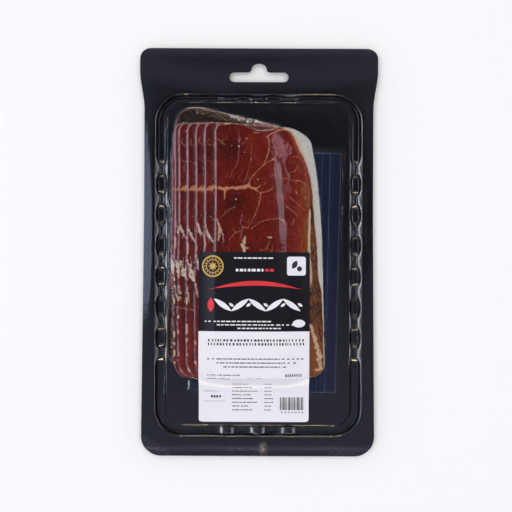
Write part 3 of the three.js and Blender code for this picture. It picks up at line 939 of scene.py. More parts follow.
class FilmSurface(Surface):
    """Heights of the lid film over the platform, on columns that follow the stack's edges."""

    def __init__(self, gap):
        steps = (-0.75, -0.5, -0.33, -0.18, -0.04, 0.12, 0.32, 0.6)
        edges = [edge + step for edge in SLICE_LEFT_EDGES for step in steps]
        evenly = [x for x in (*np.arange(-FIELD_HALF, -50.0, 0.3), *np.arange(-49.9, -23.5, 0.8))
                  if min(abs(x - edge) for edge in edges) > 0.3]
        columns = np.array(sorted([
            *edges, *evenly, *np.linspace(-23.5, 24, 38), *np.arange(24.8, 35.6, 0.7),
            *np.arange(35.9, 39.0, 0.24), *np.linspace(39.4, FIELD_HALF, 15)]))
        super().__init__(columns, np.concatenate([
            np.linspace(FIELD_FOOT, -77, 20), np.linspace(-76.5, -58, 44),
            np.linspace(-56.8, 64, 104), np.linspace(64.5, FIELD_TOP, 60)]))
        x, y = self.grid()
        height = drawn_over(stack_height(x, y, 1.1, 0.3) + gap, rounds=1)
        rind_depth = polygon_depth(x, y, rind_outline())
        beside = np.maximum(-rind_depth, 0)
        reach = 0.25 + 2.1 * smoothstep(noise(y, 0 * y, 5.0, 43), -0.1, 0.8)
        web = 1.55 * unit(1 - beside / reach) * smoothstep(x, -44, -47)
        height = np.maximum(height, PLATFORM_TOP + gap + web)
        bare = smoothstep(height, PLATFORM_TOP + 1.8, PLATFORM_TOP + 0.6)
        waves = 0.09 * np.abs(layered_noise(x, y * 0.6, 14.0, 21)) * bare
        ham_waves = 0.04 * (1 + layered_noise(x, y * 0.7, 9.0, 31)) * (1 - bare)
        border = smoothstep(beside, 2.2, 0.4) * smoothstep(x, -44, -47)
        wrinkles = 0.28 * np.abs(layered_noise(x, y * 0.6, 2.0, 41)) * border
        upper = smoothstep(y + TOP_EDGE_SLOPE * np.maximum(0, x - TOP_EDGE_SLOPE_FROM), 74, 76)
        fringe = upper * smoothstep(np.abs(rind_depth), 1.6, 0.6) * smoothstep(x, 20, 12)
        wrinkles = wrinkles + 0.35 * np.abs(layered_noise(x, y, 2.6, 45)) * fringe
        slope = bump(x - drape_line(y), -19, 8)
        ripple = 0.035 * (1 + layered_noise(x, y * 0.6, 2.8, 51)) * slope
        edge = np.minimum(53.0 - np.abs(x), np.minimum(87.5 - y, y + 101.0))
        lift = (waves + ham_waves + ripple) * smoothstep(edge, 0.2, 5.0)
        self.heights = height + lift + wrinkles * smoothstep(edge, 0.1, 1.2)

    @staticmethod
    def lean(column, y):
        """How far a column stands right of its own place at a height on the pack."""
        column = np.asarray(column, float)
        wave = edge_wave(y) * smoothstep(FIELD_HALF - np.abs(column), 0, 6)
        share = smoothstep(column, 6, 32) * smoothstep(FIELD_HALF - column, 0, 14)
        return wave * (1 - share) + (drape_line(y) - RIGHT_EDGE) * share

    def grid(self):
        column, y = super().grid()
        return column + self.lean(column, y), y

    def at(self, x, y):
        column = np.asarray(x, float)
        for _ in range(30):
            column = 0.3 * column + 0.7 * (x - self.lean(column, y))
        return super().at(column, y)


class LabelSurface(Surface):
    """Heights of the stiff paper label, which bridges the steps of the film below it."""

    def __init__(self, film, lift):
        super().__init__(np.linspace(LABEL_LEFT, LABEL_RIGHT, 104),
                         np.linspace(LABEL_FOOT, LABEL_TOP, 160))
        x, y = self.grid()
        height = drawn_over(film.at(x, y), rounds=110)
        folds = bump(y, -75.5, 4.5) * (0.5 + 0.5 * noise(x * 0.5, y, 3.0, 91))
        upright = bump(x, -5.2 + 0.05 * y, 1.1) + 0.7 * bump(x, 6.5 - 0.03 * y, 1.2)
        upright = upright * smoothstep(y, -73, -79) * smoothstep(y, -97, -90)
        self.heights = height + 0.22 * folds + 0.2 * upright + lift


# ---- Painting of meat, fat, seams and rind. Places are measured from a slice's own left edge
# and from the pack's middle; the third number of a point is the line's half width.

SEAM = (
    ((0.4, 37.2, 0.55), (3.2, 36.9, 1.0), (6.1, 36.5, 1.2), (9.0, 37.0, 0.85),
     (11.9, 37.2, 0.75), (15.5, 37.3, 0.85), (17.7, 37.9, 1.0), (19.3, 38.7, 1.0),
     (20.9, 37.3, 0.6), (23.8, 36.7, 0.35)),
    ((19.1, 40.8, 0.15), (19.3, 38.3, 0.75)),
    ((5.5, 36.0, 0.85), (5.5, 33.2, 0.5), (5.3, 30.2, 0.15)),
)
VEINS = (
    (0.95, ((19.3, 39.0, 0.3), (20.6, 43.0, 0.22), (24.2, 47.0, 0.2), (27.8, 50.6, 0.22),
            (29.6, 54.2, 0.2), (30.6, 57.1, 0.2), (31.3, 60.8, 0.2), (31.5, 64.4, 0.2),
            (30.9, 66.6, 0.3), (30.0, 67.3, 0.3))),
    (0.9, ((27.8, 50.6, 0.22), (30.7, 52.4, 0.22), (34.0, 54.4, 0.24), (35.7, 52.9, 0.15))),
    (1.0, ((30.9, 66.9, 0.36), (32.2, 69.3, 0.5), (34.7, 70.7, 0.5), (37.6, 71.5, 0.4),
           (40.2, 71.9, 0.36))),
    (0.9, ((23.8, 36.7, 0.28), (26.2, 38.8, 0.15))),
    (0.95, ((23.1, 36.5, 0.3), (26.2, 34.3, 0.3), (29.6, 35.4, 0.24), (32.5, 36.6, 0.22),
            (33.3, 37.6, 0.15))),
    (0.85, ((26.4, 34.3, 0.3), (26.1, 31.0, 0.28), (25.3, 28.1, 0.22), (23.8, 23.8, 0.2),
            (22.0, 19.8, 0.18), (20.2, 15.8, 0.15), (19.1, 13.6, 0.12))),
    (0.85, ((21.1, 13.5, 0.28), (23.8, 15.6, 0.2), (26.4, 17.4, 0.2), (30.0, 18.7, 0.18),
            (34.0, 19.4, 0.18), (37.3, 19.8, 0.24), (39.8, 18.3, 0.28), (41.6, 16.2, 0.2))),
    (0.85, ((8.7, 7.4, 0.2), (10.0, 9.6, 0.2), (11.9, 11.3, 0.2), (14.8, 12.3, 0.18))),
    (0.8, ((10.3, 13.8, 0.15), (11.1, 12.5, 0.15), (11.9, 11.3, 0.15))),
    (0.8, ((15.9, 14.3, 0.22), (18.8, 14.3, 0.15))),
    (0.4, ((20.9, 63.7, 0.15), (21.1, 59.3, 0.15), (20.8, 54.2, 0.15), (19.1, 47.7, 0.15),
           (18.0, 44.1, 0.18), (16.9, 40.5, 0.24))),
    (0.8, ((38.3, 42.8, 0.24), (41.6, 42.8, 0.24), (45.2, 41.9, 0.22), (49.6, 41.9, 0.22),
           (52.1, 40.5, 0.22), (54.7, 38.1, 0.15))),
    (0.8, ((45.2, 55.5, 0.18), (47.4, 55.7, 0.18), (49.2, 55.0, 0.18), (50.7, 52.9, 0.15))),
    (0.8, ((43.8, 46.6, 0.18), (46.0, 47.3, 0.18), (47.4, 49.2, 0.18), (47.8, 51.3, 0.15))),
    (0.8, ((40.2, 27.8, 0.24), (42.3, 25.9, 0.24), (44.1, 24.5, 0.22), (46.7, 22.7, 0.18),
           (47.8, 20.5, 0.15))),
    (0.7, ((43.1, 32.5, 0.18), (45.2, 30.3, 0.18), (48.1, 28.1, 0.18), (50.3, 26.7, 0.15),
           (51.4, 25.2, 0.15))),
    (0.8, ((31.5, 44.1, 0.22), (33.6, 44.4, 0.18), (36.5, 44.8, 0.18), (38.0, 43.7, 0.15))),
    (0.9, ((35.4, 33.9, 0.28), (37.3, 33.8, 0.22), (38.9, 32.1, 0.22))),
    (0.6, ((31.5, 6.4, 0.15), (30.9, 3.8, 0.18), (30.4, 2.0, 0.18), (26.4, 0.9, 0.15))),
    (1.0, ((46.5, 36.1, 0.2), (47.3, 34.8, 0.42), (47.8, 34.1, 0.2))),
    (0.5, ((2.4, 19.4, 0.12), (5.7, 22.7, 0.15), (9.0, 25.2, 0.15), (11.5, 26.3, 0.12))),
    (0.6, ((1.3, 65.7, 0.15), (2.8, 64.8, 0.2), (4.0, 63.3, 0.22), (5.0, 62.8, 0.2),
           (5.8, 62.1, 0.15))),
    (0.6, ((4.0, 63.2, 0.2), (4.4, 64.8, 0.18), (5.5, 65.8, 0.15))),
    (0.7, ((21.9, 69.5, 0.3), (23.1, 69.3, 0.35), (24.4, 69.2, 0.2))),
)
# Cream fat: a wedge, branching flakes at the left edge, and thin cut edges at the top
CREAM = (
    (0.95, ((17.8, 9.6, 0.15), (16.9, 7.1, 0.75), (16.8, 4.5, 1.4), (17.2, 1.6, 0.85),
            (17.5, -1.6, 0.8))),
    (0.9, ((1.1, 19.4, 0.28), (2.1, 15.8, 0.7), (3.0, 12.9, 1.0), (2.6, 10.0, 0.55),
           (1.9, 6.7, 0.36))),
    (0.85, ((3.0, 12.9, 0.6), (4.6, 10.1, 0.48), (5.1, 7.1, 0.28), (4.6, 4.9, 0.15))),
    (0.8, ((2.4, 15.4, 0.34), (3.7, 13.6, 0.28), (4.5, 11.4, 0.28))),
    (0.9, ((0.1, 70.2, 0.2), (0.7, 72.3, 0.28), (1.8, 73.8, 0.3), (3.5, 74.6, 0.3),
           (6.8, 75.0, 0.28), (9.3, 75.1, 0.42), (11.9, 74.7, 0.34), (13.2, 74.0, 0.15))),
    (0.95, ((14.8, 73.7, 0.15), (19.1, 72.6, 0.28), (22.4, 71.6, 0.34), (25.6, 70.5, 0.2))),
    (1.0, ((30.7, 9.1, 0.25), (31.8, 8.8, 0.4), (32.8, 8.4, 0.25))),
    (0.95, ((56.5, -42.8, 0.8), (57.7, -46.9, 1.0), (59.1, -51, 1.1), (60.6, -56.8, 1.0),
            (62.0, -62.0, 1.7), (61.5, -67.5, 1.2), (58.0, -69.3, 0.5))),
    (0.8, ((55.5, -21.0, 0.9), (56.3, -16.0, 1.3), (55.8, -8.0, 1.6), (54.6, -2.0, 1.2))),
)
# The same for the strips of the lower slices
STRIP_SEAM = (
    ((0.2, 36.2, 0.3), (1.6, 36.4, 0.75), (2.7, 36.9, 0.5), (4.0, 37.2, 1.0), (5.4, 37.6, 0.7)),
    ((1.4, 36.4, 0.3), (2.6, 37.9, 0.3), (3.6, 39.0, 0.12)),
    ((2.8, 36.9, 0.35), (3.8, 35.6, 0.3), (4.2, 35.0, 0.12)),
    ((3.6, 37.2, 0.35), (5.0, 38.9, 0.2), (5.6, 40.2, 0.1)),
)
STRIP_CREAM = (
    (0.85, ((0.5, 17.1, 0.22), (1.4, 13.8, 0.5), (2.4, 10.9, 0.85), (4.0, 8.6, 0.5),
            (5.6, 6.7, 0.25))),
    (0.75, ((2.4, 10.9, 0.4), (2.9, 7.3, 0.26))),
    (0.9, ((1.2, -5.6, 0.6), (2.4, -9.0, 1.3), (3.6, -12.4, 1.9), (5.2, -15.4, 1.1))),
    (0.9, ((3.4, -12.0, 0.9), (4.6, -10.2, 0.6), (5.4, -8.0, 0.2))),
    (0.7, ((2.2, -1.5, 0.2), (3.0, -4.5, 0.3), (2.6, -7.5, 0.5))),
    (0.7, ((0.4, -19.5, 0.5), (1.4, -24.5, 0.7), (2.0, -28.5, 0.3))),
)
STRIP_VEINS = (
    (0.6, ((2.8, 66.4, 0.15), (1.9, 65.0, 0.2), (2.0, 63.5, 0.22), (3.3, 62.4, 0.2),
           (5.4, 62.5, 0.15))),
    (0.6, ((0.3, -32.4, 0.25), (3.0, -33.0, 0.28), (6.5, -34.3, 0.25))),
    (0.5, ((0.8, 54.0, 0.15), (3.5, 52.6, 0.15), (6.0, 53.2, 0.15))),
)
STRIP_SPECKS = (
    (1.0, 22.6, 0.34), (3.3, 20.9, 0.42), (4.6, 19.2, 0.3), (1.7, 29.5, 0.25), (3.9, 26.2, 0.25),
    (2.2, 44.0, 0.25),
)
# Painted sheen on the top slice: lilac lines that stand in for the film's reflection
PAINTED_SHEEN_LINES = (
    (0.6, ((15.3, 22.0, 0.28), (14.8, 19.4, 0.34), (14.8, 16.9, 0.34), (15.9, 14.3, 0.34),
           (15.3, 11.8, 0.42), (14.8, 8.5, 0.34))),
    (0.55, ((13.5, 71.3, 0.34), (13.9, 66.6, 0.34), (14.0, 62.2, 0.34), (13.7, 57.9, 0.34),
            (13.3, 53.5, 0.32), (11.9, 49.9, 0.28), (10.0, 46.6, 0.22), (8.2, 43.0, 0.18))),
)
# Painted reflection: a pale lilac patch on the top slice that stands in for the film's reflection
# of a soft light
PAINTED_REFLECTION_PATCH = (
    (32.9, 69.3), (35.4, 70.9), (38.3, 70.2), (39.1, 66.6), (41.2, 64.8), (44.9, 61.1),
    (45.2, 57.9), (42.3, 56.1), (40.9, 52.1), (42.0, 47.7), (44.1, 44.8), (43.1, 41.2),
    (43.4, 37.6), (41.6, 33.2), (43.1, 28.1), (41.6, 25.9), (39.8, 23.0), (40.9, 19.4),
    (42.0, 15.1), (40.9, 9.3), (40.2, 15.1), (37.3, 19.4), (38.0, 23.8), (39.1, 28.1),
    (38.0, 33.2), (38.1, 38.3), (36.9, 44.8), (35.8, 49.9), (34.7, 55.7), (33.6, 60.8),
    (32.5, 65.8),
)
SPECKS = (
    (13.7, 61.5, 0.6), (14.2, 64.4, 0.33), (9.7, 61.9, 0.33), (18.4, 65.8, 0.45),
    (15.9, 62.8, 0.33), (17.1, 58.0, 0.42), (9.0, 55.0, 0.33), (20.8, 54.2, 0.33),
    (24.6, 42.3, 0.42), (11.9, 30.7, 0.45), (11.1, 26.1, 0.33), (5.7, 23.8, 0.33),
    (19.1, 47.0, 0.28), (14.8, 65.8, 0.28), (17.3, 63.7, 0.28), (19.1, 2.4, 0.55),
    (15.9, 6.4, 0.33), (1.6, 50.6, 0.28), (6.8, 44.0, 0.25), (29.0, 40.2, 0.3),
)
# Bands along the right edge: place, inner side of the outer fat, of the brown line beside
# it and of the cream strip, all measured from the edge
RIGHT_BANDS = (
    (75.0, 16.0, 16.0, 16.0), (72.0, 15.2, 15.2, 15.2), (70.2, 11.2, 11.2, 11.2),
    (67.3, 9.9, 10.0, 10.0), (63.7, 8.9, 9.1, 9.1), (60.0, 8.0, 8.5, 8.5),
    (55.7, 6.4, 7.3, 7.3), (50.6, 5.0, 6.3, 6.3), (44.8, 4.3, 5.7, 5.7),
    (39.0, 4.0, 5.4, 5.4), (33.2, 3.8, 5.6, 5.6), (27.4, 4.1, 6.0, 6.0),
    (23.0, 4.0, 5.6, 6.9), (15.8, 4.0, 6.2, 7.7), (8.5, 3.4, 6.8, 8.4),
    (-1.6, 3.0, 7.0, 8.6), (-10.9, 2.9, 6.3, 8.5), (-16.6, 2.4, 6.2, 7.0),
    (-20.0, 1.6, 6.8, 7.0), (-23.0, 0.9, 9.7, 9.7), (-41.0, 0.5, 9.7, 9.7),
    (-43.0, 0.4, 4.5, 4.5), (-54.0, 0.4, 1.5, 1.5), (-58.0, 0.4, 0.4, 0.4),
    (-76.0, 0.4, 0.4, 0.4),
)


def paint_slice(number, x, y):
    """Shares of fat, veins, painted sheen, rind and pale rim with painted glint on a slice, and
    the meat's tone with painted shade.
    """
    flat_y, inside_y = flattened(number, x, y)
    local = x - slice_left(number, inside_y)
    seed = 40 + number * 7
    u = local + 0.38 * layered_noise(local, y, 2.2, seed) + 0.14 * noise(local, y, 0.8, seed + 1)
    v = y + 0.42 * layered_noise(local, y, 2.4, seed + 2) + 0.16 * noise(local, y, 0.8, seed + 3)
    ragged = np.clip(0.86 + 0.6 * layered_noise(local, y, 1.3, seed + 4), 0.3, 1)
    swell = np.clip(1.0 + 0.75 * layered_noise(local, y, 1.8, seed + 16), 0.35, 1.8)
    slip = 0.7 * math.sin(number * 2.4)
    top = number == 0

    def painted(lines, move=0.0):
        shade = np.zeros(np.shape(x))
        for strength, path in lines:
            shade = np.maximum(shade, strength * ribbon(u, v + move, path, swell))
        return shade

    seam = painted([(1.0, path) for path in (SEAM if top else STRIP_SEAM)])
    seam = np.maximum(seam * (0.8 + 0.2 * ragged), painted(VEINS if top else STRIP_VEINS, slip)
                      * ragged)
    torn_x = 0.55 * layered_noise(local, y, 1.5, seed + 18)
    torn_y = 0.55 * layered_noise(local, y, 1.5, seed + 19)
    u, v = u + torn_x, v + torn_y
    fat = painted(CREAM if top else STRIP_CREAM, slip * 2) * ragged
    u, v = u - torn_x, v - torn_y
    painted_sheen, white, shadow = np.zeros((3, *np.shape(x)))
    if not top:
        fat = fat * smoothstep(layered_noise(local, y, 1.1, seed + 20), -0.7, -0.35)
        white = 0.8 * fat
        bits = smoothstep(noise(local * 0.7, y, 2.2, seed + 12), 0.3, 0.6)
        fat = np.maximum(fat, 0.95 * bits * smoothstep(local, 1.8, 0.5) * smoothstep(y, 24, 12))
        # Painted shade: beside the edge of the slice above, the strip gets darker and takes a
        # faint lilac painted sheen
        covered = slice_left(number - 1, inside_y) - x
        shadow = smoothstep(covered, 3.0, 0.2)
        painted_sheen = 0.2 * shadow * smoothstep(y, -30, 10)
    if top:
        # Painted reflection of the film: lilac sheen lines and a mottled patch, fading downwards
        painted_sheen = np.maximum(painted_sheen, painted(PAINTED_SHEEN_LINES))
        patch = smoothstep(polygon_depth(u, v, np.array(PAINTED_REFLECTION_PATCH)), -0.5, 0.7)
        holes = smoothstep(layered_noise(local * 1.5, y * 0.6, 2.4, seed + 13), 0.3, 0.0)
        fade = 0.06 + 0.94 * smoothstep(y, 27, 56)
        painted_sheen = np.maximum(painted_sheen, patch * (0.12 + 0.88 * holes) * fade)
        right_part = smoothstep(local, 37, 42) * smoothstep(y, -20, 0)
        fibres = smoothstep(layered_noise(local * 1.9 - y * 0.55, y * 0.35 + local * 0.35, 2.3,
                                          seed + 14), 0.3, 0.62)
        strong = smoothstep(noise(local, y, 5.0, seed + 15), -0.4, 0.4)
        seam = np.maximum(seam, 0.42 * fibres * strong * right_part)
    for sx, sy, radius in SPECKS if top else STRIP_SPECKS:
        gap = np.hypot(local - sx, y + 0.4 * slip - sy)
        spot = unit((0.8 * radius * swell - gap) / 0.3 + 0.5)
        white = np.maximum(white, 0.85 * spot)
    fine = ridges(u, v, 6.0, seed + 5, 0.95) * smoothstep(noise(u, v, 7.0, seed + 6), 0.15, 0.7)
    seam = np.maximum(seam, 0.22 * fine)

    depth = drape_line(inside_y) - number * RIGHT_END_STEP - x
    depth = depth + 0.22 * layered_noise(local, y, 1.8, seed + 7)
    keys = np.array(sorted(RIGHT_BANDS))
    outer, brown, cream = (np.interp(y, keys[:, 0], keys[:, n]) for n in (1, 2, 3))
    band = smoothstep(depth, outer + 0.25, outer - 0.25)
    strip = smoothstep(depth, outer - 0.2, outer + 0.2) * smoothstep(
        depth, brown + 0.25, brown - 0.2)
    strip = strip * smoothstep(brown - outer, 0.1, 0.8)
    inner = smoothstep(depth, brown - 0.1, brown + 0.2) * smoothstep(
        depth, cream + 0.25, cream - 0.25) * smoothstep(cream - brown, 0.2, 0.8)
    fat = np.maximum(fat * (1 - strip), np.maximum(band, 0.9 * inner))
    whiter = smoothstep(depth, outer * 0.97 + 0.1, outer * 0.68 - 0.1)
    white = np.maximum(white, band * whiter)
    olive = smoothstep(y + 2 * layered_noise(local, y, 3.0, seed + 21), 24, 12)
    flecks = layered_noise(local * 1.3, y, 1.3, seed + 22)
    rind = strip * (0.9 - olive * (0.4 + 0.45 * flecks)) * (1 - 0.5 * smoothstep(y, 20, 34))
    seam = np.maximum(seam, strip * olive * 0.45 * smoothstep(flecks, 0.2, 0.7))
    if top:
        fringe = smoothstep(depth, outer + 2.6, outer + 0.2) * smoothstep(y, 38, 52)
        seam = np.maximum(seam, 0.45 * fringe * ragged)
    fat = np.maximum(fat, white)
    # Pale cut edge with a painted glint of the film along the left and the top edge, weaker
    # towards the foot
    rim_glint_left = smoothstep(local, 0.9, 0.45) * (0.85 + 0.3 * noise(y, 0 * y, 5.0, seed + 8))
    rim_glint_left = rim_glint_left * (1 - 0.65 * smoothstep(y, 8, -18) * (
        1 + 0.6 * noise(y, local, 4.0, seed + 17)))
    rim_glint_top = smoothstep(HAM_TOP - flat_y, 0.8, 0.2) * (0.2 if top else 0.5)

    def patch_of(px, py, rx, ry):
        return np.exp(-(((local - px) / rx) ** 2 + ((y - py) / ry) ** 2))

    tone = 0.48 + 0.2 * layered_noise(local, y, 9.0, seed + 10) + 0.14 * layered_noise(
        local, y, 2.2, seed + 11)
    tone = tone - 0.5 * shadow - 0.26 * patch_of(8, 62, 8, 9) - 0.28 * patch_of(11, 27, 8, 8)
    tone = tone + 0.2 * patch_of(24, 56, 8, 16) + 0.16 * patch_of(28, 22, 10, 14)
    tone = tone + 0.5 * smoothstep(local, 36, 54) + 0.3 * smoothstep(y, -35, -60)
    golden = smoothstep(local, 45, 54) * smoothstep(y, 48, 34) + 0.6 * strip * olive
    tone = tone + golden * (0.45 + 0.5 * layered_noise(u * 1.6 - v * 0.3, v * 0.6, 3.0, seed))
    return {"fat": unit(fat), "seam": unit(seam), "rind": unit(rind), "painted_sheen": unit(painted_sheen),
            "white": unit(white), "rim": unit(np.maximum(rim_glint_left, rim_glint_top)),
            "tone": np.clip(tone, 0, 1.6)}


def ham_relief(paint, x, y, number):
    """Small rises of the meat's surface, in millimetres."""
    grain = 0.03 * layered_noise(x, y, 1.6, 90 + number) + 0.05 * noise(x, y, 7.0, 91 + number)
    return grain + 0.04 * paint["fat"] - 0.04 * paint["seam"] - 0.03 * paint["rind"]


# ---- Settings


def colour(name, default, text):
    return FloatVectorProperty(name=name, description=text, default=default,
                               subtype="COLOR", size=3, min=0.0, max=1.0)


def length(name, millimetres, text):
    return FloatProperty(name=name, description=text, default=millimetres * MM,
                         unit="LENGTH", subtype="DISTANCE", precision=5)


def amount(name, default, text, **limits):
    return FloatProperty(name=name, description=text, default=default, **{"min": 0, **limits})


def share_of(name, default, text):
    return amount(name, default, text, max=1, subtype="FACTOR")


class TraySettings(PropertyGroup):
    """Sizes and finish of the formed tray."""

    thickness: length("Sheet thickness", 0.45, "Thickness of the formed sheet")
    black: colour("Black", (0.0032, 0.0033, 0.0045), "Colour of the formed sheet")
    rubbed: colour("Rubbed", (0.055, 0.057, 0.075), "Colour of the knurled corners")
    scuff: colour("Scuff", (0.3, 0.25, 0.21), "Colour of the seal's scuff")
    roughness: share_of("Roughness", 0.09, "Blur of the sheet's gloss")


class SheetSettings(PropertyGroup):
    """Look of the separator sheets."""

    blue: colour("Blue", (0.02, 0.029, 0.07), "Colour of the translucent sheets")
    # Colour of the painted glint along the sheets' cut edges
    edge: colour("Edge", (0.14, 0.16, 0.21), "Colour of the light cut edges")
    cover: share_of("Cover", 0.3, "How much a sheet hides what is below")


class HamSettings(PropertyGroup):
    """Sizes and colours of the slices."""

    thickness: length("Slice thickness", 1.05, "Thickness of one slice")
    meat_dark: colour("Dark meat", (0.047, 0.003, 0.0014), "Darkest meat")
    meat_red: colour("Red meat", (0.114, 0.0056, 0.003), "Brighter meat")
    meat_orange: colour("Orange meat", (0.18, 0.02, 0.007), "Meat near the fat")
    meat_gold: colour("Golden meat", (0.17, 0.053, 0.0105), "Dried meat beside the rind")
    fat: colour("Cream fat", (0.5, 0.34, 0.23), "Cream fat")
    white: colour("White fat", (0.54, 0.53, 0.48), "White fat at the border")
    seam: colour("Seam", (0.47, 0.2, 0.1), "Orange cream seam and veins")
    # Colour of the painted sheen, which stands in for the film's reflection and tints painted
    # shade
    painted_sheen: colour("Membrane", (0.29, 0.105, 0.11), "Pale lilac membrane")
    rind: colour("Rind", (0.019, 0.0085, 0.0058), "Dark rind")
    straw: colour("Straw", (0.3, 0.2, 0.1), "Light fibres and specks of the rind")
    # Colour of a slice's pale cut edge together with the film's painted glint along it
    rim: colour("Rim", (0.44, 0.235, 0.28), "Pale cut edge under the film")
    crumb: colour("Crumbs", (0.95, 0.9, 0.84), "Crumbs of fat along the rind")
    crumb_density: amount("Crumbs", 0.45, "Fat crumbs on a square millimetre of the top edge")
    fibre_density: amount("Fibres", 1.5, "Straw fibres on a square millimetre of the rind")


class FilmSettings(PropertyGroup):
    """Sizes and finish of the lid film."""

    gap: length("Gap", 0.1, "Distance between the film and what it covers")
    thickness: length("Film thickness", 0.05, "Thickness of the film")
    gloss: amount("Index of refraction", 1.36, "Strength of the film's gloss", min=1, max=2)
    roughness: share_of("Roughness", 0.07, "Blur of the film's gloss")


class LabelSettings(PropertyGroup):
    """Sizes and inks of the label."""

    thickness: length("Paper thickness", 0.09, "Thickness of the label")
    paper: colour("Paper", (0.78, 0.775, 0.79), "Colour of the bare label")
    ink: colour("Black ink", (0.006, 0.0055, 0.0085), "Colour of the upper field")
    red: colour("Red ink", (0.66, 0.012, 0.02), "Colour of the red band")
    gold: colour("Gold ink", (0.6, 0.38, 0.05), "Colour of the gold ring")
    field: length("Black field", 46.0, "Height of the black field")


class StageSettings(PropertyGroup):
    """Floor, light and camera."""

    floor: colour("Floor", (0.915, 0.915, 0.885), "Colour of the floor")
    distance: length("Camera distance", 650.0, "Camera height over the flange")
    field_half: length("Half field", 150.5, "Half the width seen at the flange")
    middle: FloatVectorProperty(name="Middle", description="Place below the camera", size=2,
                                default=(-0.00135, -0.0022), unit="LENGTH",
                                subtype="TRANSLATION")
    roll: FloatProperty(name="Roll", description="Turn of the camera about its axis",
                        default=math.radians(0.26), unit="ROTATION", subtype="ANGLE")
    sky: amount("Sky", 0.9, "Strength of the light from all around")
    left_light: amount("Left light", 1.5, "Radiance of the left soft light")
    edge_light: amount("Edge light", 8.0, "Radiance of the bright strip")
    right_light: amount("Right light", 2.2, "Radiance of the right soft light")
    low_light: amount("Low lights", 5.5, "Radiance of the low lights at both sides")
    foot_light: amount("Foot light", 19.0, "Radiance of the low light beyond the foot")
    warm_light: amount("Warm light", 12.0, "Radiance of the warm light beyond the flap")
    fill_light: amount("Fill light", 2.5, "Radiance of the overhead light that only fills")


SETTINGS = {
    "ham_pack_tray": TraySettings,
    "ham_pack_sheets": SheetSettings,
    "ham_pack_ham": HamSettings,
    "ham_pack_film": FilmSettings,
    "ham_pack_label": LabelSettings,
    "ham_pack_stage": StageSettings,
}


# ---- Materials: each function makes a shader on a material's graph


def scaled(tint, factor):
    return tuple(part * factor for part in tint)


def tray_surface(graph, settings):
    """Glossy black sheet with faint waves, knurled peel corners and a pale scuff."""
    place = graph.place()
    waves = graph.noise(place, 0.012, 2.0)
    fine = graph.noise(place, 0.0016, 3.0)
    tint = graph.mix(waves, settings.black, scaled(settings.black, 1.7))
    knurl, scuff = graph.attribute("knurl"), graph.attribute("scuff")
    grain = graph.noise(graph.grained(place, 2.4, 0.5), 0.0013, 2.0)
    rubbed = graph.times(knurl, graph.spread(grain, 0.48, 0.66), clamp=True)
    tint = graph.mix(graph.times(rubbed, 0.7), tint, settings.rubbed)
    tint = graph.mix(graph.times(scuff, graph.spread(fine, 0.3, 0.7)), tint, settings.scuff)
    relief = graph.plus(waves, graph.times(fine, 0.12))
    relief = graph.plus(relief, graph.times(graph.times(grain, knurl), 1.5))
    gloss = graph.spread(fine, 0.3, 0.7, settings.roughness - 0.03, settings.roughness + 0.04)
    return graph.principled(tint, graph.math("MULTIPLY_ADD", rubbed, 0.25, gloss), 1.5,
                            graph.bump(relief, 0.2, 0.0003))


def sheet_surface(graph, settings):
    """Thin translucent blue sheet whose cut edges are lighter and less clear, a painted glint."""
    cloud = graph.noise(graph.place(), 0.02, 2.0)
    blue = graph.mix(cloud, settings.blue, scaled(settings.blue, 0.8))
    # Painted glint: lighter colour and less clearness along the cut edges
    edge = graph.times(graph.attribute("edge"), 0.8)
    solid = graph.principled(graph.mix(edge, blue, settings.edge), 0.3, 1.3,
                             graph.bump(cloud, 0.3, 0.0004))
    clear = graph.node("ShaderNodeBsdfTransparent", {"Color": (0.93, 0.94, 0.98, 1)})
    return graph.shared(graph.math("MULTIPLY_ADD", edge, 0.4, settings.cover), clear.outputs[0],
                        solid)


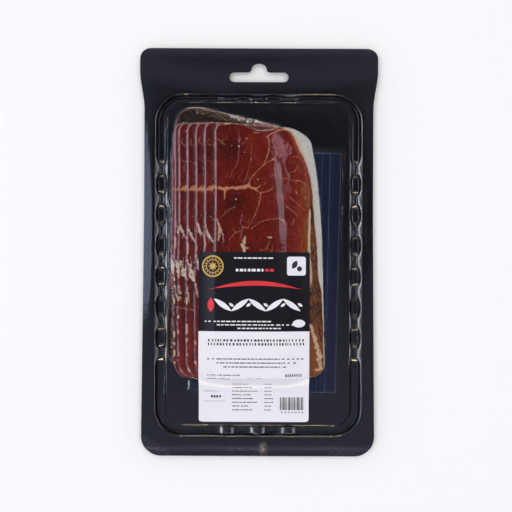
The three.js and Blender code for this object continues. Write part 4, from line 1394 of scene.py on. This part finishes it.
def ham_surface(graph, settings):
    """Moist cured meat: fibres, veins and fat painted by the piece's own attributes."""
    place = graph.place()
    fat, seam, rind, rim, tone, painted_sheen, white = (graph.attribute(n) for n in (
        "fat", "seam", "rind", "rim", "tone", "painted_sheen", "white"))
    grain = graph.noise(place, 0.0009, 5.0, 0.65)
    fibre = graph.noise(graph.grained(place, 0.3, 0.35), 0.0015, 4.0, 0.6, 0.8)
    blotch = graph.noise(place, 0.005, 3.0, 0.5, 0.4)
    redness = graph.plus(tone, graph.math("MULTIPLY_ADD", fibre, 0.8, -0.4))
    redness = graph.plus(redness, graph.math("MULTIPLY_ADD", blotch, 0.5, -0.25))
    tint = settings.meat_dark
    for low, high, redder in ((0.15, 0.6, settings.meat_red), (0.6, 1.05, settings.meat_orange),
                              (1.05, 1.5, settings.meat_gold)):
        tint = graph.mix(graph.spread(redness, low, high), tint, redder)
    speckle = graph.spread(grain, 0.58, 0.74)
    tint = graph.mix(graph.times(speckle, 0.35), tint, settings.seam)
    shade = graph.spread(grain, 0.46, 0.3)
    tint = graph.mix(graph.times(shade, 0.5), tint, settings.meat_dark)
    torn = graph.spread(grain, 0.3, 0.6, 0.55, 1.0)
    # Painted sheen: pale lilac that stands in for the film's reflection and tints painted shade
    sheen = graph.times(painted_sheen, graph.spread(fibre, 0.32, 0.55, 0.35, 0.9), clamp=True)
    tint = graph.mix(sheen, tint, settings.painted_sheen)
    tint = graph.mix(graph.times(seam, torn, clamp=True), tint, settings.seam)
    cream = graph.mix(graph.spread(blotch, 0.45, 0.75, 0.0, 0.4), settings.fat, settings.seam)
    pale = graph.mix(graph.spread(grain, 0.35, 0.6, 1.0, 0.0), settings.white,
                     scaled(settings.white, 0.7))
    fat_share = graph.times(fat, torn, clamp=True)
    tint = graph.mix(graph.spread(fat_share, 0.2, 0.7), tint, graph.mix(white, cream, pale))
    dark = graph.mix(graph.spread(grain, 0.63, 0.75), settings.rind, settings.straw)
    tint = graph.mix(graph.spread(rind, 0.2, 0.75), tint, dark)
    # Pale cut edge with the film's painted glint along it
    cut = graph.times(rim, graph.spread(fibre, 0.3, 0.6, 0.6, 1.0), clamp=True)
    tint = graph.mix(graph.times(cut, 0.85), tint, settings.rim)
    height = graph.plus(fibre, graph.times(grain, 0.5))
    return graph.principled(tint, graph.spread(grain, 0.3, 0.7, 0.3, 0.45), 1.12,
                            graph.bump(height, 0.5, 0.0002))


def film_surface(graph, settings):
    """Clear glossy film: what lies below shows through, and it only adds its gloss."""
    place = graph.place()
    waves = graph.noise(place, 0.007, 2.0, 0.5, 0.3)
    creases = graph.noise(place, 0.0022, 3.0, 0.6)
    normal = graph.bump(graph.plus(waves, graph.times(creases, 0.18)), 0.22, 0.00022)
    facing = graph.node("ShaderNodeLayerWeight", {"Blend": 0.5, "Normal": normal})
    straight = ((settings.gloss - 1) / (settings.gloss + 1)) ** 2
    share = graph.math("MULTIPLY_ADD", graph.math("POWER", facing.outputs["Facing"], 5.0),
                       0.9 - straight, straight)
    gloss = graph.node("ShaderNodeBsdfGlossy", {
        "Color": (1, 1, 1, 1), "Roughness": settings.roughness, "Normal": normal})
    return graph.shared(share, graph.node("ShaderNodeBsdfTransparent").outputs[0],
                        gloss.outputs[0])


def plain_surface(graph, tint, roughness):
    """One uneven colour with fine grain, as of ink, crumbs or fibres."""
    place = graph.place()
    grain = graph.noise(place, 0.0009, 3.0)
    cloud = graph.noise(place, 0.015, 2.0)
    base = graph.mix(graph.times(grain, 0.25), tint,
                     tuple(min(1.0, part * 0.82 + 0.004) for part in tint))
    return graph.principled(
        base, graph.spread(cloud, 0.3, 0.7, roughness - 0.05, roughness + 0.07), 1.45,
        graph.bump(grain, 0.12, 0.00008))


def paper_surface(graph, settings):
    """The label's two fields: white below and black above."""
    place = graph.place()
    grain = graph.noise(place, 0.0009, 3.0)
    along = graph.node("ShaderNodeSeparateXYZ", {0: place}).outputs[1]
    paper = graph.mix(graph.times(grain, 0.3), settings.paper, scaled(settings.paper, 0.95))
    ink = graph.mix(graph.times(grain, 0.4), settings.ink, scaled(settings.ink, 1.6))
    return graph.principled(
        graph.mix(graph.math("GREATER_THAN", along, -settings.field), paper, ink), 0.28, 1.33,
        graph.bump(grain, 0.12, 0.00008))


def floor_surface(graph, settings):
    return graph.node("ShaderNodeBsdfPrincipled", {
        "Base Color": (*settings.floor, 1), "Roughness": 0.9, "Specular IOR Level": 0.1,
    }).outputs[0]


# ---- Operators


def place_piece(piece, material, slot, *nodes):
    """Gives a finished piece its material and its body and hides its CAD nodes; slot is not used.
    """
    piece.data.materials.clear()
    piece.data.materials.append(material)
    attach(piece, "root")
    if nodes:
        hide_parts(*nodes)


class Step:
    """What the operators share."""

    bl_options = {"REGISTER", "UNDO"}


# Name, place, size, property of the radiance, share of it, colour, rays it doesn't reach
LIGHTS = (
    ("left_soft_light", (-0.46, 0.065, 1.2), (0.32, 0.31), "left_light", 1.0,
     (0.6, 0.68, 1.0), None),
    ("left_bright_light", (-0.66, 0.05, 1.2), (0.07, 0.6), "edge_light", 1.0,
     (0.88, 0.9, 1.0), None),
    ("right_soft_light", (0.42, 0.125, 1.2), (0.22, 0.19), "right_light", 1.0,
     (0.86, 0.84, 1.0), None),
    ("left_low_light", (-1.6, 0.0, 0.42), (0.45, 1.3), "low_light", 1.0,
     (0.84, 0.87, 1.0), "visible_diffuse"),
    ("right_low_light", (1.6, 0.0, 0.42), (0.45, 1.3), "low_light", 0.35,
     (0.8, 0.8, 1.0), "visible_diffuse"),
    ("foot_low_light", (0.0, -1.6, 0.42), (1.0, 0.3), "foot_light", 1.0,
     (1.0, 0.8, 0.44), "visible_diffuse"),
    ("top_warm_light", (0.0, 1.6, 0.42), (1.0, 0.3), "warm_light", 1.0,
     (1.0, 0.88, 0.66), "visible_diffuse"),
    ("overhead_fill", (0.0, 0.0, 1.6), (1.6, 1.6), "fill_light", 1.0,
     (1.0, 0.99, 0.98), "visible_glossy"),
)


def make_sky(scene, settings):
    """Light from all around, with a dim patch overhead where the camera stands."""
    scene.world = bpy.data.worlds.new("soft_sky")
    graph = new_nodes(scene.world)
    way = graph.node("ShaderNodeTexCoord").outputs["Generated"]
    x, y, z = graph.node("ShaderNodeSeparateXYZ", {0: way}).outputs
    up = graph.math("MAXIMUM", z, 0.05)
    across = graph.math("DIVIDE", x, up)
    along = graph.math("SUBTRACT", graph.math("DIVIDE", y, up), 0.058)
    wide = graph.times(across, 0.6)
    reach = graph.math("SQRT", graph.plus(graph.times(wide, wide), graph.times(along, along)))
    strength = graph.ramp(graph.times(reach, 0.4), [
        (0.0, 0.05), (0.028, 0.055), (0.036, 0.13), (0.046, 0.21), (0.08, 0.34),
        (0.14, 0.42), (0.24, 0.5), (0.4, 0.58), (0.64, 0.85), (1.0, 1.0)])
    right = graph.ramp(graph.times(across, 0.5), [
        (0.0, 1.0), (0.1, 1.0), (0.17, 0.35), (0.5, 0.35), (0.75, 1.0), (1.0, 1.0)])
    strength = graph.mix(1.0, strength, right, "MULTIPLY")
    tint = graph.mix(graph.spread(across, -0.5, 0.3), (0.62, 0.69, 1.0), (0.78, 0.77, 1.0))
    tint = graph.mix(graph.spread(reach, 0.5, 1.1), tint, (1.0, 0.97, 0.92))
    tint = graph.mix(graph.spread(along, -0.55, -0.35), (0.8, 0.78, 1.0), tint)
    background = graph.node("ShaderNodeBackground", {
        "Color": graph.mix(1.0, tint, strength, "MULTIPLY"), "Strength": settings.sky})
    graph.node("ShaderNodeOutputWorld", {0: background.outputs[0]})


def make_light(name, place, size, radiance, tint):
    """A soft rectangular light that faces the pack; its power follows its radiance."""
    data = bpy.data.lights.new(name, "AREA")
    data.shape = "RECTANGLE"
    data.size, data.size_y = size
    data.energy, data.color = radiance * math.pi * size[0] * size[1], tint
    light = bpy.data.objects.new(name, data)
    light.location = place
    x, y, z = place
    light.rotation_euler = (0, math.atan2(x, z), 0) if x else (-math.atan2(y, z), 0, 0)
    bpy.context.scene.collection.objects.link(light)
    return light


def make_camera(scene, settings):
    data = bpy.data.cameras.new("camera")
    data.sensor_width = 36.0
    data.lens = data.sensor_width / 2 * settings.distance / settings.field_half
    data.clip_start, data.clip_end = 0.01, 10.0
    camera = bpy.data.objects.new("camera", data)
    camera.location = (*settings.middle, FLANGE_TOP * MM + settings.distance)
    camera.rotation_euler = (0, 0, settings.roll)
    scene.collection.objects.link(camera)
    scene.camera = camera


class HAMPACK_OT_stage(Step, Operator):
    """Make the floor, the soft studio light and the camera"""

    bl_idname = "ham_pack.stage"
    bl_label = "Stage"

    def execute(self, context):
        settings = context.scene.ham_pack_stage
        floor = new_piece("floor", [(x * FLOOR_HALF, y * FLOOR_HALF, FLOOR_LEVEL) for x, y in (
            (-1, -1), (1, -1), (1, 1), (-1, 1))], [(0, 1, 2, 3)], smooth=False)
        floor.data.materials.append(new_material("floor_pale", floor_surface, settings))
        make_sky(context.scene, settings)
        for name, place, size, radiance, share, tint, without in LIGHTS:
            light = make_light(name, place, size, getattr(settings, radiance) * share, tint)
            if without:
                setattr(light, without, False)
        make_camera(context.scene, settings)
        context.scene.view_settings.view_transform = "Standard"
        return {"FINISHED"}


def tray_marks(x, y):
    """Rough peel corners at the foot and a pale scuff where the film was sealed."""
    ragged = 2.0 * layered_noise(x, y, 5.0, 26)
    left = smoothstep(-x * 0.55 - y + ragged, 143.5, 147) * (x < 0)
    right = smoothstep(y + 0.4 * ragged, -115.6, -117) * smoothstep(x, 41, 44)
    row = bump(y, -115.6, 1.3) * smoothstep(np.abs(x + 8), 11, 9)
    scuff = np.exp(-((x - 3.1) / 1.7) ** 2 - ((y + 115.6) / 3.4) ** 4)
    return {"knurl": unit(left + right + row) * (y < -104), "scuff": scuff}


def tray_platform(border):
    points, faces = fill_between(border, [], scattered((-53, -101), (53, 87), 3.4, 8))
    inward = smoothstep(polygon_depth(*points.T, border), 0.5, 12)
    sag = 0.1 * noise(*points.T, 30.0, 12) * inward
    return np.column_stack([points, PLATFORM_TOP + sag]), faces


class HAMPACK_OT_tray(Step, Operator):
    """Make the formed black tray"""

    bl_idname = "ham_pack.tray"
    bl_label = "Tray"

    def execute(self, context):
        settings = context.scene.ham_pack_tray
        points, faces = formed_sheet(TRAY_STEP, 0.0, hanging_hole(), tray_platform)
        tray = new_piece("formed_tray", points, faces)
        set_attributes(tray, tray_marks(points[:, 0], points[:, 1]))
        add_thickness(tray, settings.thickness)
        place_piece(tray, new_material("tray_black", tray_surface, settings), "tray_black",
                    "tray")
        return {"FINISHED"}


def sheet_stations(half, count):
    """Places across a sheet, closer together at both borders."""
    border = np.array([0, 0.25, 0.5, 1.2])
    return np.concatenate([border - half, np.linspace(2 - half, half - 2, count),
                           (half - border)[::-1]])


class HAMPACK_OT_sheets(Step, Operator):
    """Make the blue separator sheets, each a step further to the left"""

    bl_idname = "ham_pack.sheets"
    bl_label = "Separator Sheets"

    def execute(self, context):
        material = new_material("separator_blue", sheet_surface, context.scene.ham_pack_sheets)
        half_u, half_v = SHEET_WIDTH / 2, SHEET_LENGTH / 2
        u, v = np.meshgrid(sheet_stations(half_u, 36), sheet_stations(half_v, 70))
        for level, right in enumerate(SHEET_RIGHT_EDGES):
            x = u * math.cos(SHEET_TILT) + v * math.sin(SHEET_TILT) + right - SHEET_WIDTH / 2
            y = v * math.cos(SHEET_TILT) - u * math.sin(SHEET_TILT) + SHEET_MIDDLE
            z = sheet_top(level, x, y) + 0.02 * noise(x, y, 14.0, 60 + level)
            sheet = new_piece(f"separator_{level + 1}", as_points(x, y, z), grid_faces(*u.shape))
            # Share of the painted glint along the cut edges, uneven along them
            inward = np.minimum(half_u - np.abs(u), half_v - np.abs(v))
            uneven = 0.65 + 0.35 * noise(x, y, 6.0, 66 + level)
            set_attributes(sheet, {"edge": smoothstep(inward, 0.55, 0.1) * uneven})
            add_thickness(sheet, SHEET_THICKNESS * SHEET_SOLID_SHARE * MM)
            place_piece(sheet, material, "separator_blue", f"separator_sheet_{level + 1}")
        return {"FINISHED"}


def make_slice(number, thickness):
    """A closed slice on a grid, which is finest where the slice shows."""
    if number == 0:
        shares, upper, lower = np.linspace(0, 1, 206), 252, 120
    else:
        shares = np.concatenate([np.linspace(0, 0.13, 28), np.linspace(0.13, 1, 24)[1:]])
        upper, lower = 216, 150
    rows = np.concatenate([np.linspace(HAM_TOP, FINE_ROWS_FOOT, upper),
                           np.linspace(FINE_ROWS_FOOT, HAM_FOOT, lower)[1:]])[::-1]
    share, flat_y = np.meshgrid(shares, rows)
    left, right = slice_left(number, flat_y), slice_right(number, flat_y)
    from_left, from_right = share * (right - left), (1 - share) * (right - left)
    from_end = np.minimum(HAM_TOP - flat_y, flat_y - HAM_FOOT)
    x = left + from_left
    y = flat_y - smoothstep(flat_y, TOP_EDGE_FADE, HAM_TOP) * top_edge_fall(number, x)
    uneven = 0.22 * noise(x, y, 5.0, 70 + number) + 0.1 * noise(x, y, 1.5, 71 + number)
    y = y + uneven * smoothstep(from_end, 2.5, 0)
    x = x + 0.3 * layered_noise(x, y, 2.4, 75 + number) * smoothstep(from_right, 2.0, 0)
    rounded = np.maximum(*(smoothstep(inward, 0.9, 0) * EDGE_ROUNDING for inward in (
        np.minimum(from_left, from_right), from_end)))
    z = slice_base(number, x, y) + thickness - rounded
    z = z + ham_relief(paint_slice(number, x, y), x, y, number)
    return closed_grid(f"slice_{number + 1}", x, y, z,
                       lambda x, y: slice_base(number, x, y) + UNDERSIDE_SHARE * thickness)


class HAMPACK_OT_slices(Step, Operator):
    """Make the fanned slices above the lowest one"""

    bl_idname = "ham_pack.slices"
    bl_label = "Ham Slices"

    def execute(self, context):
        settings = context.scene.ham_pack_ham
        material = new_material("ham_meat", ham_surface, settings)
        for number in range(RIND_SLICE):
            piece = make_slice(number, settings.thickness / MM)
            places = np.empty(len(piece.data.vertices) * 3)
            piece.data.vertices.foreach_get("co", places)
            x, y, _ = places.reshape(-1, 3).T / MM
            set_attributes(piece, paint_slice(number, x, y))
            place_piece(piece, material, "ham_meat", f"ham_slice_{number + 1}")
        return {"FINISHED"}


def paint_rind(x, y, depth):
    """Dark rind along the top and at the lower left, meat between."""
    ragged = 0.7 * layered_noise(x, y, 3.0, 18)
    high = smoothstep(y - 0.25 * ragged, 74.6, 76.2)
    top = high * smoothstep(y, 60, 72)
    wedge = smoothstep(y + 2 * ragged, -20, -24) * smoothstep(depth, 8.5, 7.5)
    rind = unit(np.maximum(top, wedge))
    seam = ribbon(x, y + 0.3 * ragged, ((-53, 36.8, 0.6), (-49, 37.2, 0.5), (-40, 37.2, 0.5)))
    orange = bump(y, 75.0 + 0.05 * (x + 30), 0.8) * smoothstep(x, -42, -36)
    seam = np.maximum(seam, 0.55 * orange * smoothstep(noise(x, y, 3.0, 22), -0.5, 0.2))
    flakes = ribbon(x + 0.4 * ragged, y, (
        (-53.4, -2.6, 0.6), (-52.2, -5.0, 1.4), (-50.2, -8.6, 1.7), (-48.0, -13.0, 1.8),
        (-46.6, -17.0, 0.7)))
    fat = flakes * smoothstep(layered_noise(x, y, 1.6, 23), -0.75, -0.35)
    bits = smoothstep(layered_noise(x, y, 1.5, 20), 0.3, 0.55)
    fat = np.maximum(fat, bits * smoothstep(depth, 3.2, 1.0) * smoothstep(y, 24, 4) * 0.9)
    streaks = ridges(x * 0.35 + y * 0.5, y * 1.1, 1.7, 24, 0.86)
    white = np.maximum(fat * 0.7, streaks * top * 0.16 * smoothstep(x, -38, -28))
    return {"fat": unit(fat), "seam": unit(seam), "rind": rind,
            # Painted sheen near the outline stands in for the film's glare there; the pale rim
            # holds a painted glint
            "painted_sheen": 0.25 * smoothstep(depth, 3.0, 1.0) * (1 - rind),
            "white": unit(white), "rim": smoothstep(depth, 0.9, 0.2) * 0.3,
            "tone": unit(0.42 + 0.3 * layered_noise(x, y, 7.0, 19))}


class HAMPACK_OT_rind_slice(Step, Operator):
    """Make the lowest slice with its dark rind on the left and at the top"""

    bl_idname = "ham_pack.rind_slice"
    bl_label = "Rind Slice"

    def execute(self, context):
        settings = context.scene.ham_pack_ham
        outline = rind_outline()
        dense = scattered((-54, -64), (12, 85), 0.62, 14)
        seen = (dense[:, 0] < -44) | (dense[:, 1] > 68)
        sparse = scattered((-44, -64), (9, 68), 3.0, 15)
        border = []
        for a, b in zip(outline, np.roll(outline, -1, axis=0)):
            steps = max(1, int(np.hypot(*(b - a)) / 0.7))
            border += [a + (b - a) * n / steps for n in range(steps)]
        flat, faces = fill_between(border, [], np.vstack([dense[seen], sparse]))
        x, y = flat.T
        depth = polygon_depth(x, y, outline)
        paint = paint_rind(x, y, depth)
        rounded = smoothstep(depth, 1.2, 0) * 0.45
        z = STACK_BASE + settings.thickness / MM - left_drop(x) - rounded
        z = z + ham_relief(paint, x, y, 8) + 0.12 * noise(x, y, 3.0, 16) * paint["rind"]
        piece = new_piece("rind_slice", as_points(x, y, z), faces)
        set_attributes(piece, paint)
        add_thickness(piece, settings.thickness * RIND_THICKNESS_SHARE)
        place_piece(piece, new_material("ham_rind", ham_surface, settings), "ham_rind",
                    "ham_slice_7")
        return {"FINISHED"}


# Rows of places along the top edge, each with how far the grains reach up and down
STRAW = ((-37, 82.6, 1.2), (-32, 82.2, 1.6), (-27, 81.0, 1.8), (-22, 79.6, 2.0),
         (-16, 78.2, 1.9), (-10, 77.3, 1.3), (-3, 76.3, 0.9), (6, 74.6, 0.8),
         (14, 72.9, 0.8), (21, 71.9, 0.6))
CRUMBS = ((-17, 79.6, 0.7), (-14, 79.3, 1.5), (-11, 78.4, 1.5), (-6, 77.2, 1.2),
          (0, 75.9, 1.0), (5, 74.6, 0.7), (9, 73.9, 0.6), (11.5, 73.4, 0.8))


def grain_bed(name, places, thickness):
    """The strip of the top edge that the grains lie on."""
    middle = smooth_path([place[:2] for place in places], 6)
    reach = np.interp(middle[:, 0], [p[0] for p in places], [p[2] for p in places])
    rows = np.array([middle + np.column_stack([0 * reach, reach * share]) for share in (-1, 0, 1)])
    x, y = rows[..., 0], rows[..., 1]
    z = STACK_BASE + thickness - left_drop(x)
    return new_piece(name, as_points(x, y, z), grid_faces(*x.shape))


class HAMPACK_OT_crumbs(Step, Operator):
    """Scatter straw fibres and fat crumbs over the rind along the top edge"""

    bl_idname = "ham_pack.crumbs"
    bl_label = "Rind Fibres and Crumbs"

    def execute(self, context):
        settings = context.scene.ham_pack_ham
        fibre = new_material("rind_fibre", plain_surface, settings.straw, 0.5)
        crumb = new_material("fat_crumb", plain_surface, settings.crumb, 0.45)
        dense, loose = (density * PER_SQUARE_MM for density in (
            settings.fibre_density, settings.crumb_density))
        for name, places, slender, material, density, size, turn, seed in (
                ("rind_fibres", STRAW, True, fibre, dense, 1.0, 0.9, 7),
                ("fat_crumbs", CRUMBS, False, crumb, loose, 1.4, 3.0, 11),
                ("fat_threads", CRUMBS, True, crumb, 2.4 * loose, 1.0, 1.3, 5)):
            piece = grain_bed(name, places, settings.thickness / MM)
            tree = scatter_tree(name.replace("_", " ").capitalize(), slender)
            grow(piece, tree, {
                "Density": density, "Size": size * MM, "Turn": turn, "Seed": seed,
                "Material": material})
            place_piece(piece, material, "ham_rind")
        return {"FINISHED"}


class HAMPACK_OT_film(Step, Operator):
    """Make the clear lid film over tray and ham"""

    bl_idname = "ham_pack.film"
    bl_label = "Lid Film"

    def execute(self, context):
        settings = context.scene.ham_pack_film
        gap = settings.gap / MM
        surface = FilmSurface(gap)

        def middle(border):
            x, y = surface.grid()
            keep = polygon_depth(x, y, border) > 0.6
            points, faces = fill_between(border, [], as_points(x[keep], y[keep]))
            rise = surface.at(*points.T) - PLATFORM_TOP - gap
            near = smoothstep(polygon_depth(*points.T, border), 0.0, 1.6)
            return np.column_stack([points, PLATFORM_TOP + gap + rise * near]), faces

        film = new_piece("film", *formed_sheet(FILM_STEP, gap, hanging_hole(grow=0.05), middle))
        add_thickness(film, -settings.thickness, sharp=85.0)
        place_piece(film, new_material("film_clear", film_surface, settings), "film_clear",
                    "lid_film")
        return {"FINISHED"}


def label_surface(context):
    """The label's upper face, which the print lies on."""
    film, label = context.scene.ham_pack_film, context.scene.ham_pack_label
    return LabelSurface(FilmSurface(film.gap / MM),
                        film.thickness / MM + label.thickness / MM + LABEL_LIFT)


class HAMPACK_OT_label(Step, Operator):
    """Make the paper label on the film"""

    bl_idname = "ham_pack.label"
    bl_label = "Label"

    def execute(self, context):
        settings = context.scene.ham_pack_label
        surface = label_surface(context)
        x, y = surface.grid()
        inset = corner_inset(y - LABEL_FOOT, (LABEL_CORNER, LABEL_CORNER))
        middle, half = (LABEL_LEFT + LABEL_RIGHT) / 2, (LABEL_RIGHT - LABEL_LEFT) / 2
        x = middle + (x - middle) * (half - inset) / half
        label = new_piece("paper_label", as_points(x, y, surface.at(x, y)), grid_faces(*x.shape))
        add_thickness(label, settings.thickness)
        place_piece(label, new_material("label_paper", paper_surface, settings), "label_paper",
                    "label")
        return {"FINISHED"}


def disc(middle, radius, steps):
    return arc(middle, radius, 0, 360, steps)[:-1]


def leaf(middle, length, width, tilt):
    """A pointed oval around middle, turned by tilt in degrees."""
    t = np.linspace(-1, 1, 15)
    side = np.column_stack([length * t, width * (1 - t * t)])
    loop = np.vstack([side * (1, -1), side[::-1][1:-1]])
    tilt = math.radians(tilt)
    turn = np.array([[math.cos(tilt), math.sin(tilt)], [-math.sin(tilt), math.cos(tilt)]])
    return loop @ turn + middle, []


# Rows of bars: left, right, middle height, bar height, shortest and longest bar, gap
WHITE_ROWS = (
    (-14, 9, -3.4, 0.75, 1.2, 3.4, 0.7), (-13, 3, -10.4, 1.5, 1.0, 2.6, 0.7),
    (-31, 8, -40.2, 0.7, 0.9, 3.0, 0.6), (-24, 20, -42.2, 0.7, 0.9, 3.0, 0.6),
    (-12, 12, -44.2, 0.7, 0.9, 2.6, 0.6),
)
RED_ROWS = ((4, 9, -10.4, 1.5, 1.0, 2.2, 0.7),)
DARK_ROWS = (
    (-29, 27, -51.2, 1.3, 0.6, 1.5, 0.8), (-29, 27, -53.4, 1.5, 0.5, 1.1, 0.9),
    (-29.5, 26, -62.0, 0.62, 0.8, 3.2, 0.5), (-24, 20, -64.3, 0.62, 0.8, 3.2, 0.5),
    (-20, 16, -66.6, 0.62, 0.8, 3.2, 0.5), (-29.5, -10, -71.4, 0.55, 0.8, 2.2, 0.5),
    (-29.5, -17, -73.6, 0.55, 0.8, 2.2, 0.5), (16, 25.5, -71.6, 1.6, 0.5, 0.9, 0.5),
    (-27.5, -21.5, -84.5, 1.9, 0.7, 1.2, 0.5),
    *((-15, -6 + 5 * (n % 3) / 2, -77 - 2.25 * n, 0.55, 0.8, 2.4, 0.45) for n in range(8)),
    *((4, 8, -77 - 2.25 * n, 0.55, 0.7, 1.5, 0.4) for n in range(8)),
    *((x, x + 0.2, -85.5, 14.5, w, w + 0.01, 9.0) for x, w in (
        (13.2, 0.5), (14.3, 0.3), (15.1, 0.7), (16.3, 0.3), (17.0, 0.3), (18.1, 0.8),
        (19.4, 0.4), (20.3, 0.3), (21.2, 0.6), (22.4, 0.3), (23.3, 0.8), (24.6, 0.3),
        (25.5, 0.5), (26.4, 0.3))),
    *((x, x + 0.2, -94.2, 0.8, 0.7, 0.71, 9.0) for x in (14, 16, 18, 20, 22, 24, 26)),
    (-31.5, -31.3, -81.6, 0.16, 13.0, 13.01, 20.0),
    (-31.5, -31.3, -87.6, 0.16, 13.0, 13.01, 20.0),
)


def white_shapes():
    """A plate with round corners, a chain of leaves and an oval."""
    plate = [arc((cx, cy), 1.4, start, start + 90, 5) for cx, cy, start in (
        (26.3, -3.9, 0), (18.1, -3.9, 90), (18.1, -12.1, 180), (26.3, -12.1, 270))]
    leaves = [leaf((x + step, -30.6), length, width, -35 if n % 2 == 0 else 35)
              for n, x in enumerate((-20.5, -10.5, -0.5, 9.5, 19.5))
              for step, length, width in ((0, 6.4, 1.5), (5.0, 1.7, 0.8))]
    return [(np.vstack(plate), []), *leaves, (disc((23.8, -41.4), (3.7, 2.3), 28), [])]


def red_shapes():
    """A bow that is thickest in the middle, and a leaf."""
    across = np.linspace(-1, 1, 33)
    bend = 1 - across**2
    top = np.column_stack([28 * across - 1.5, 5.2 * bend**1.2 - 21.8])
    low = np.column_stack([28 * across - 1.5, 2.4 * bend - 21.8])
    return [(np.vstack([low, top[::-1][1:-1]]), []), leaf((-27.5, -30.6), 4.2, 1.9, 90)]


def gold_shapes():
    """Two rings with beads between them, around a star."""
    x, y = middle = (-26.4, -8.2)
    beads = [(disc((x + 4.6 * math.cos(t), y + 4.6 * math.sin(t)), 0.42, 8), [])
             for t in np.arange(16) * math.pi / 8]
    points = arc(middle, 1.0, 90, 450, 16)[:-1]
    reach = np.where(np.arange(16) % 2, 1.3, 2.9)[:, None]
    return [(disc(middle, 6.3, 36), [disc(middle, 5.5, 36)]),
            (disc(middle, 3.9, 36), [disc(middle, 3.5, 36)]), *beads,
            ((points - middle) * reach + middle, [])]


def dark_shapes():
    return [leaf((21.2, -7.2), 2.7, 1.5, 60), (disc((24.0, -9.6), 1.5, 18), [])]


def print_shapes(name, shapes, surface, material, lift):
    """Flat shapes that follow the label, as one thin piece."""
    points, faces, start = [], [], 0
    for outer, holes in shapes:
        inside = scattered(outer.min(axis=0), outer.max(axis=0), 1.8, 9)
        flat, parts = fill_between(outer, holes, inside)
        points.append(np.column_stack([flat, surface.at(*flat.T) + lift + INK_THICKNESS]))
        faces += (parts + start).tolist()
        start += len(flat)
    piece = new_piece(name, np.vstack(points), faces)
    add_thickness(piece, INK_THICKNESS * MM)
    place_piece(piece, material, "label_paper")


def print_rows(name, rows, surface, material, seed):
    """Rows of bars of uneven length, grown from points by geometry nodes."""
    rng = np.random.default_rng(seed)
    bars = []
    for left, right, y, height, short, long, gap in rows:
        x = left
        while x < right:
            length = rng.uniform(short, long)
            bars.append((x + length / 2, y, length * MM, height * MM))
            x += length + gap * rng.uniform(0.7, 1.4)
    x, y, lengths, heights = np.array(bars).T
    piece = new_piece(name, as_points(x, y, surface.at(x, y) + BAR_LIFT), [])
    set_attributes(piece, {"length": lengths, "height": heights})
    grow(piece, bar_tree(), {"Thickness": BAR_THICKNESS * MM, "Material": material})
    place_piece(piece, material, "label_paper")


class HAMPACK_OT_print(Step, Operator):
    """Print generic shapes and bars on the label"""

    bl_idname = "ham_pack.print"
    bl_label = "Label Print"

    def execute(self, context):
        settings = context.scene.ham_pack_label
        surface = label_surface(context)
        inks = {
            "white": (settings.paper, 0.3), "red": (settings.red, 0.3),
            "gold": (settings.gold, 0.3), "dark": (tuple(c + 0.02 for c in settings.ink), 0.35)}
        inks = {name: new_material(f"ink_{name}", plain_surface, *look)
                for name, look in inks.items()}
        rows = {"white": WHITE_ROWS, "red": RED_ROWS, "dark": DARK_ROWS}
        for seed, (ink, places) in enumerate(rows.items(), start=3):
            print_rows(f"print_bars_{ink}", places, surface, inks[ink], seed)
        shapes = {"white": (white_shapes(), 0.02), "red": (red_shapes(), 0.035),
                  "gold": (gold_shapes(), 0.035), "dark": (dark_shapes(), 0.05)}
        for ink, (loops, lift) in shapes.items():
            print_shapes(f"print_{ink}", loops, surface, inks[ink], lift)
        return {"FINISHED"}


class HAMPACK_PT_panel(Panel):
    """Lists the steps that build the pack."""

    bl_idname = "HAMPACK_PT_panel"
    bl_label = "Ham Pack"
    bl_space_type = "VIEW_3D"
    bl_region_type = "UI"
    bl_category = "Ham Pack"

    def draw(self, context):
        for step in STEPS:
            self.layout.operator(step.bl_idname)
        for name, group in SETTINGS.items():
            box = self.layout.box()
            box.label(text=group.__name__.replace("Settings", ""))
            settings = getattr(context.scene, name)
            for key in group.__annotations__:
                box.prop(settings, key)


STEPS = (
    HAMPACK_OT_stage, HAMPACK_OT_tray, HAMPACK_OT_sheets, HAMPACK_OT_rind_slice,
    HAMPACK_OT_slices, HAMPACK_OT_crumbs, HAMPACK_OT_film, HAMPACK_OT_label, HAMPACK_OT_print,
)
CLASSES = (*SETTINGS.values(), *STEPS, HAMPACK_PT_panel)


def register():
    for part in CLASSES:
        bpy.utils.register_class(part)
    for name, group in SETTINGS.items():
        setattr(bpy.types.Scene, name, PointerProperty(type=group))


def unregister():
    for name in SETTINGS:
        delattr(bpy.types.Scene, name)
    for part in reversed(CLASSES):
        bpy.utils.unregister_class(part)


def main():
    register()
    for step in STEPS:
        group, _, call = step.bl_idname.partition(".")
        getattr(getattr(bpy.ops, group), call)()


if __name__ == "__main__":
    main()
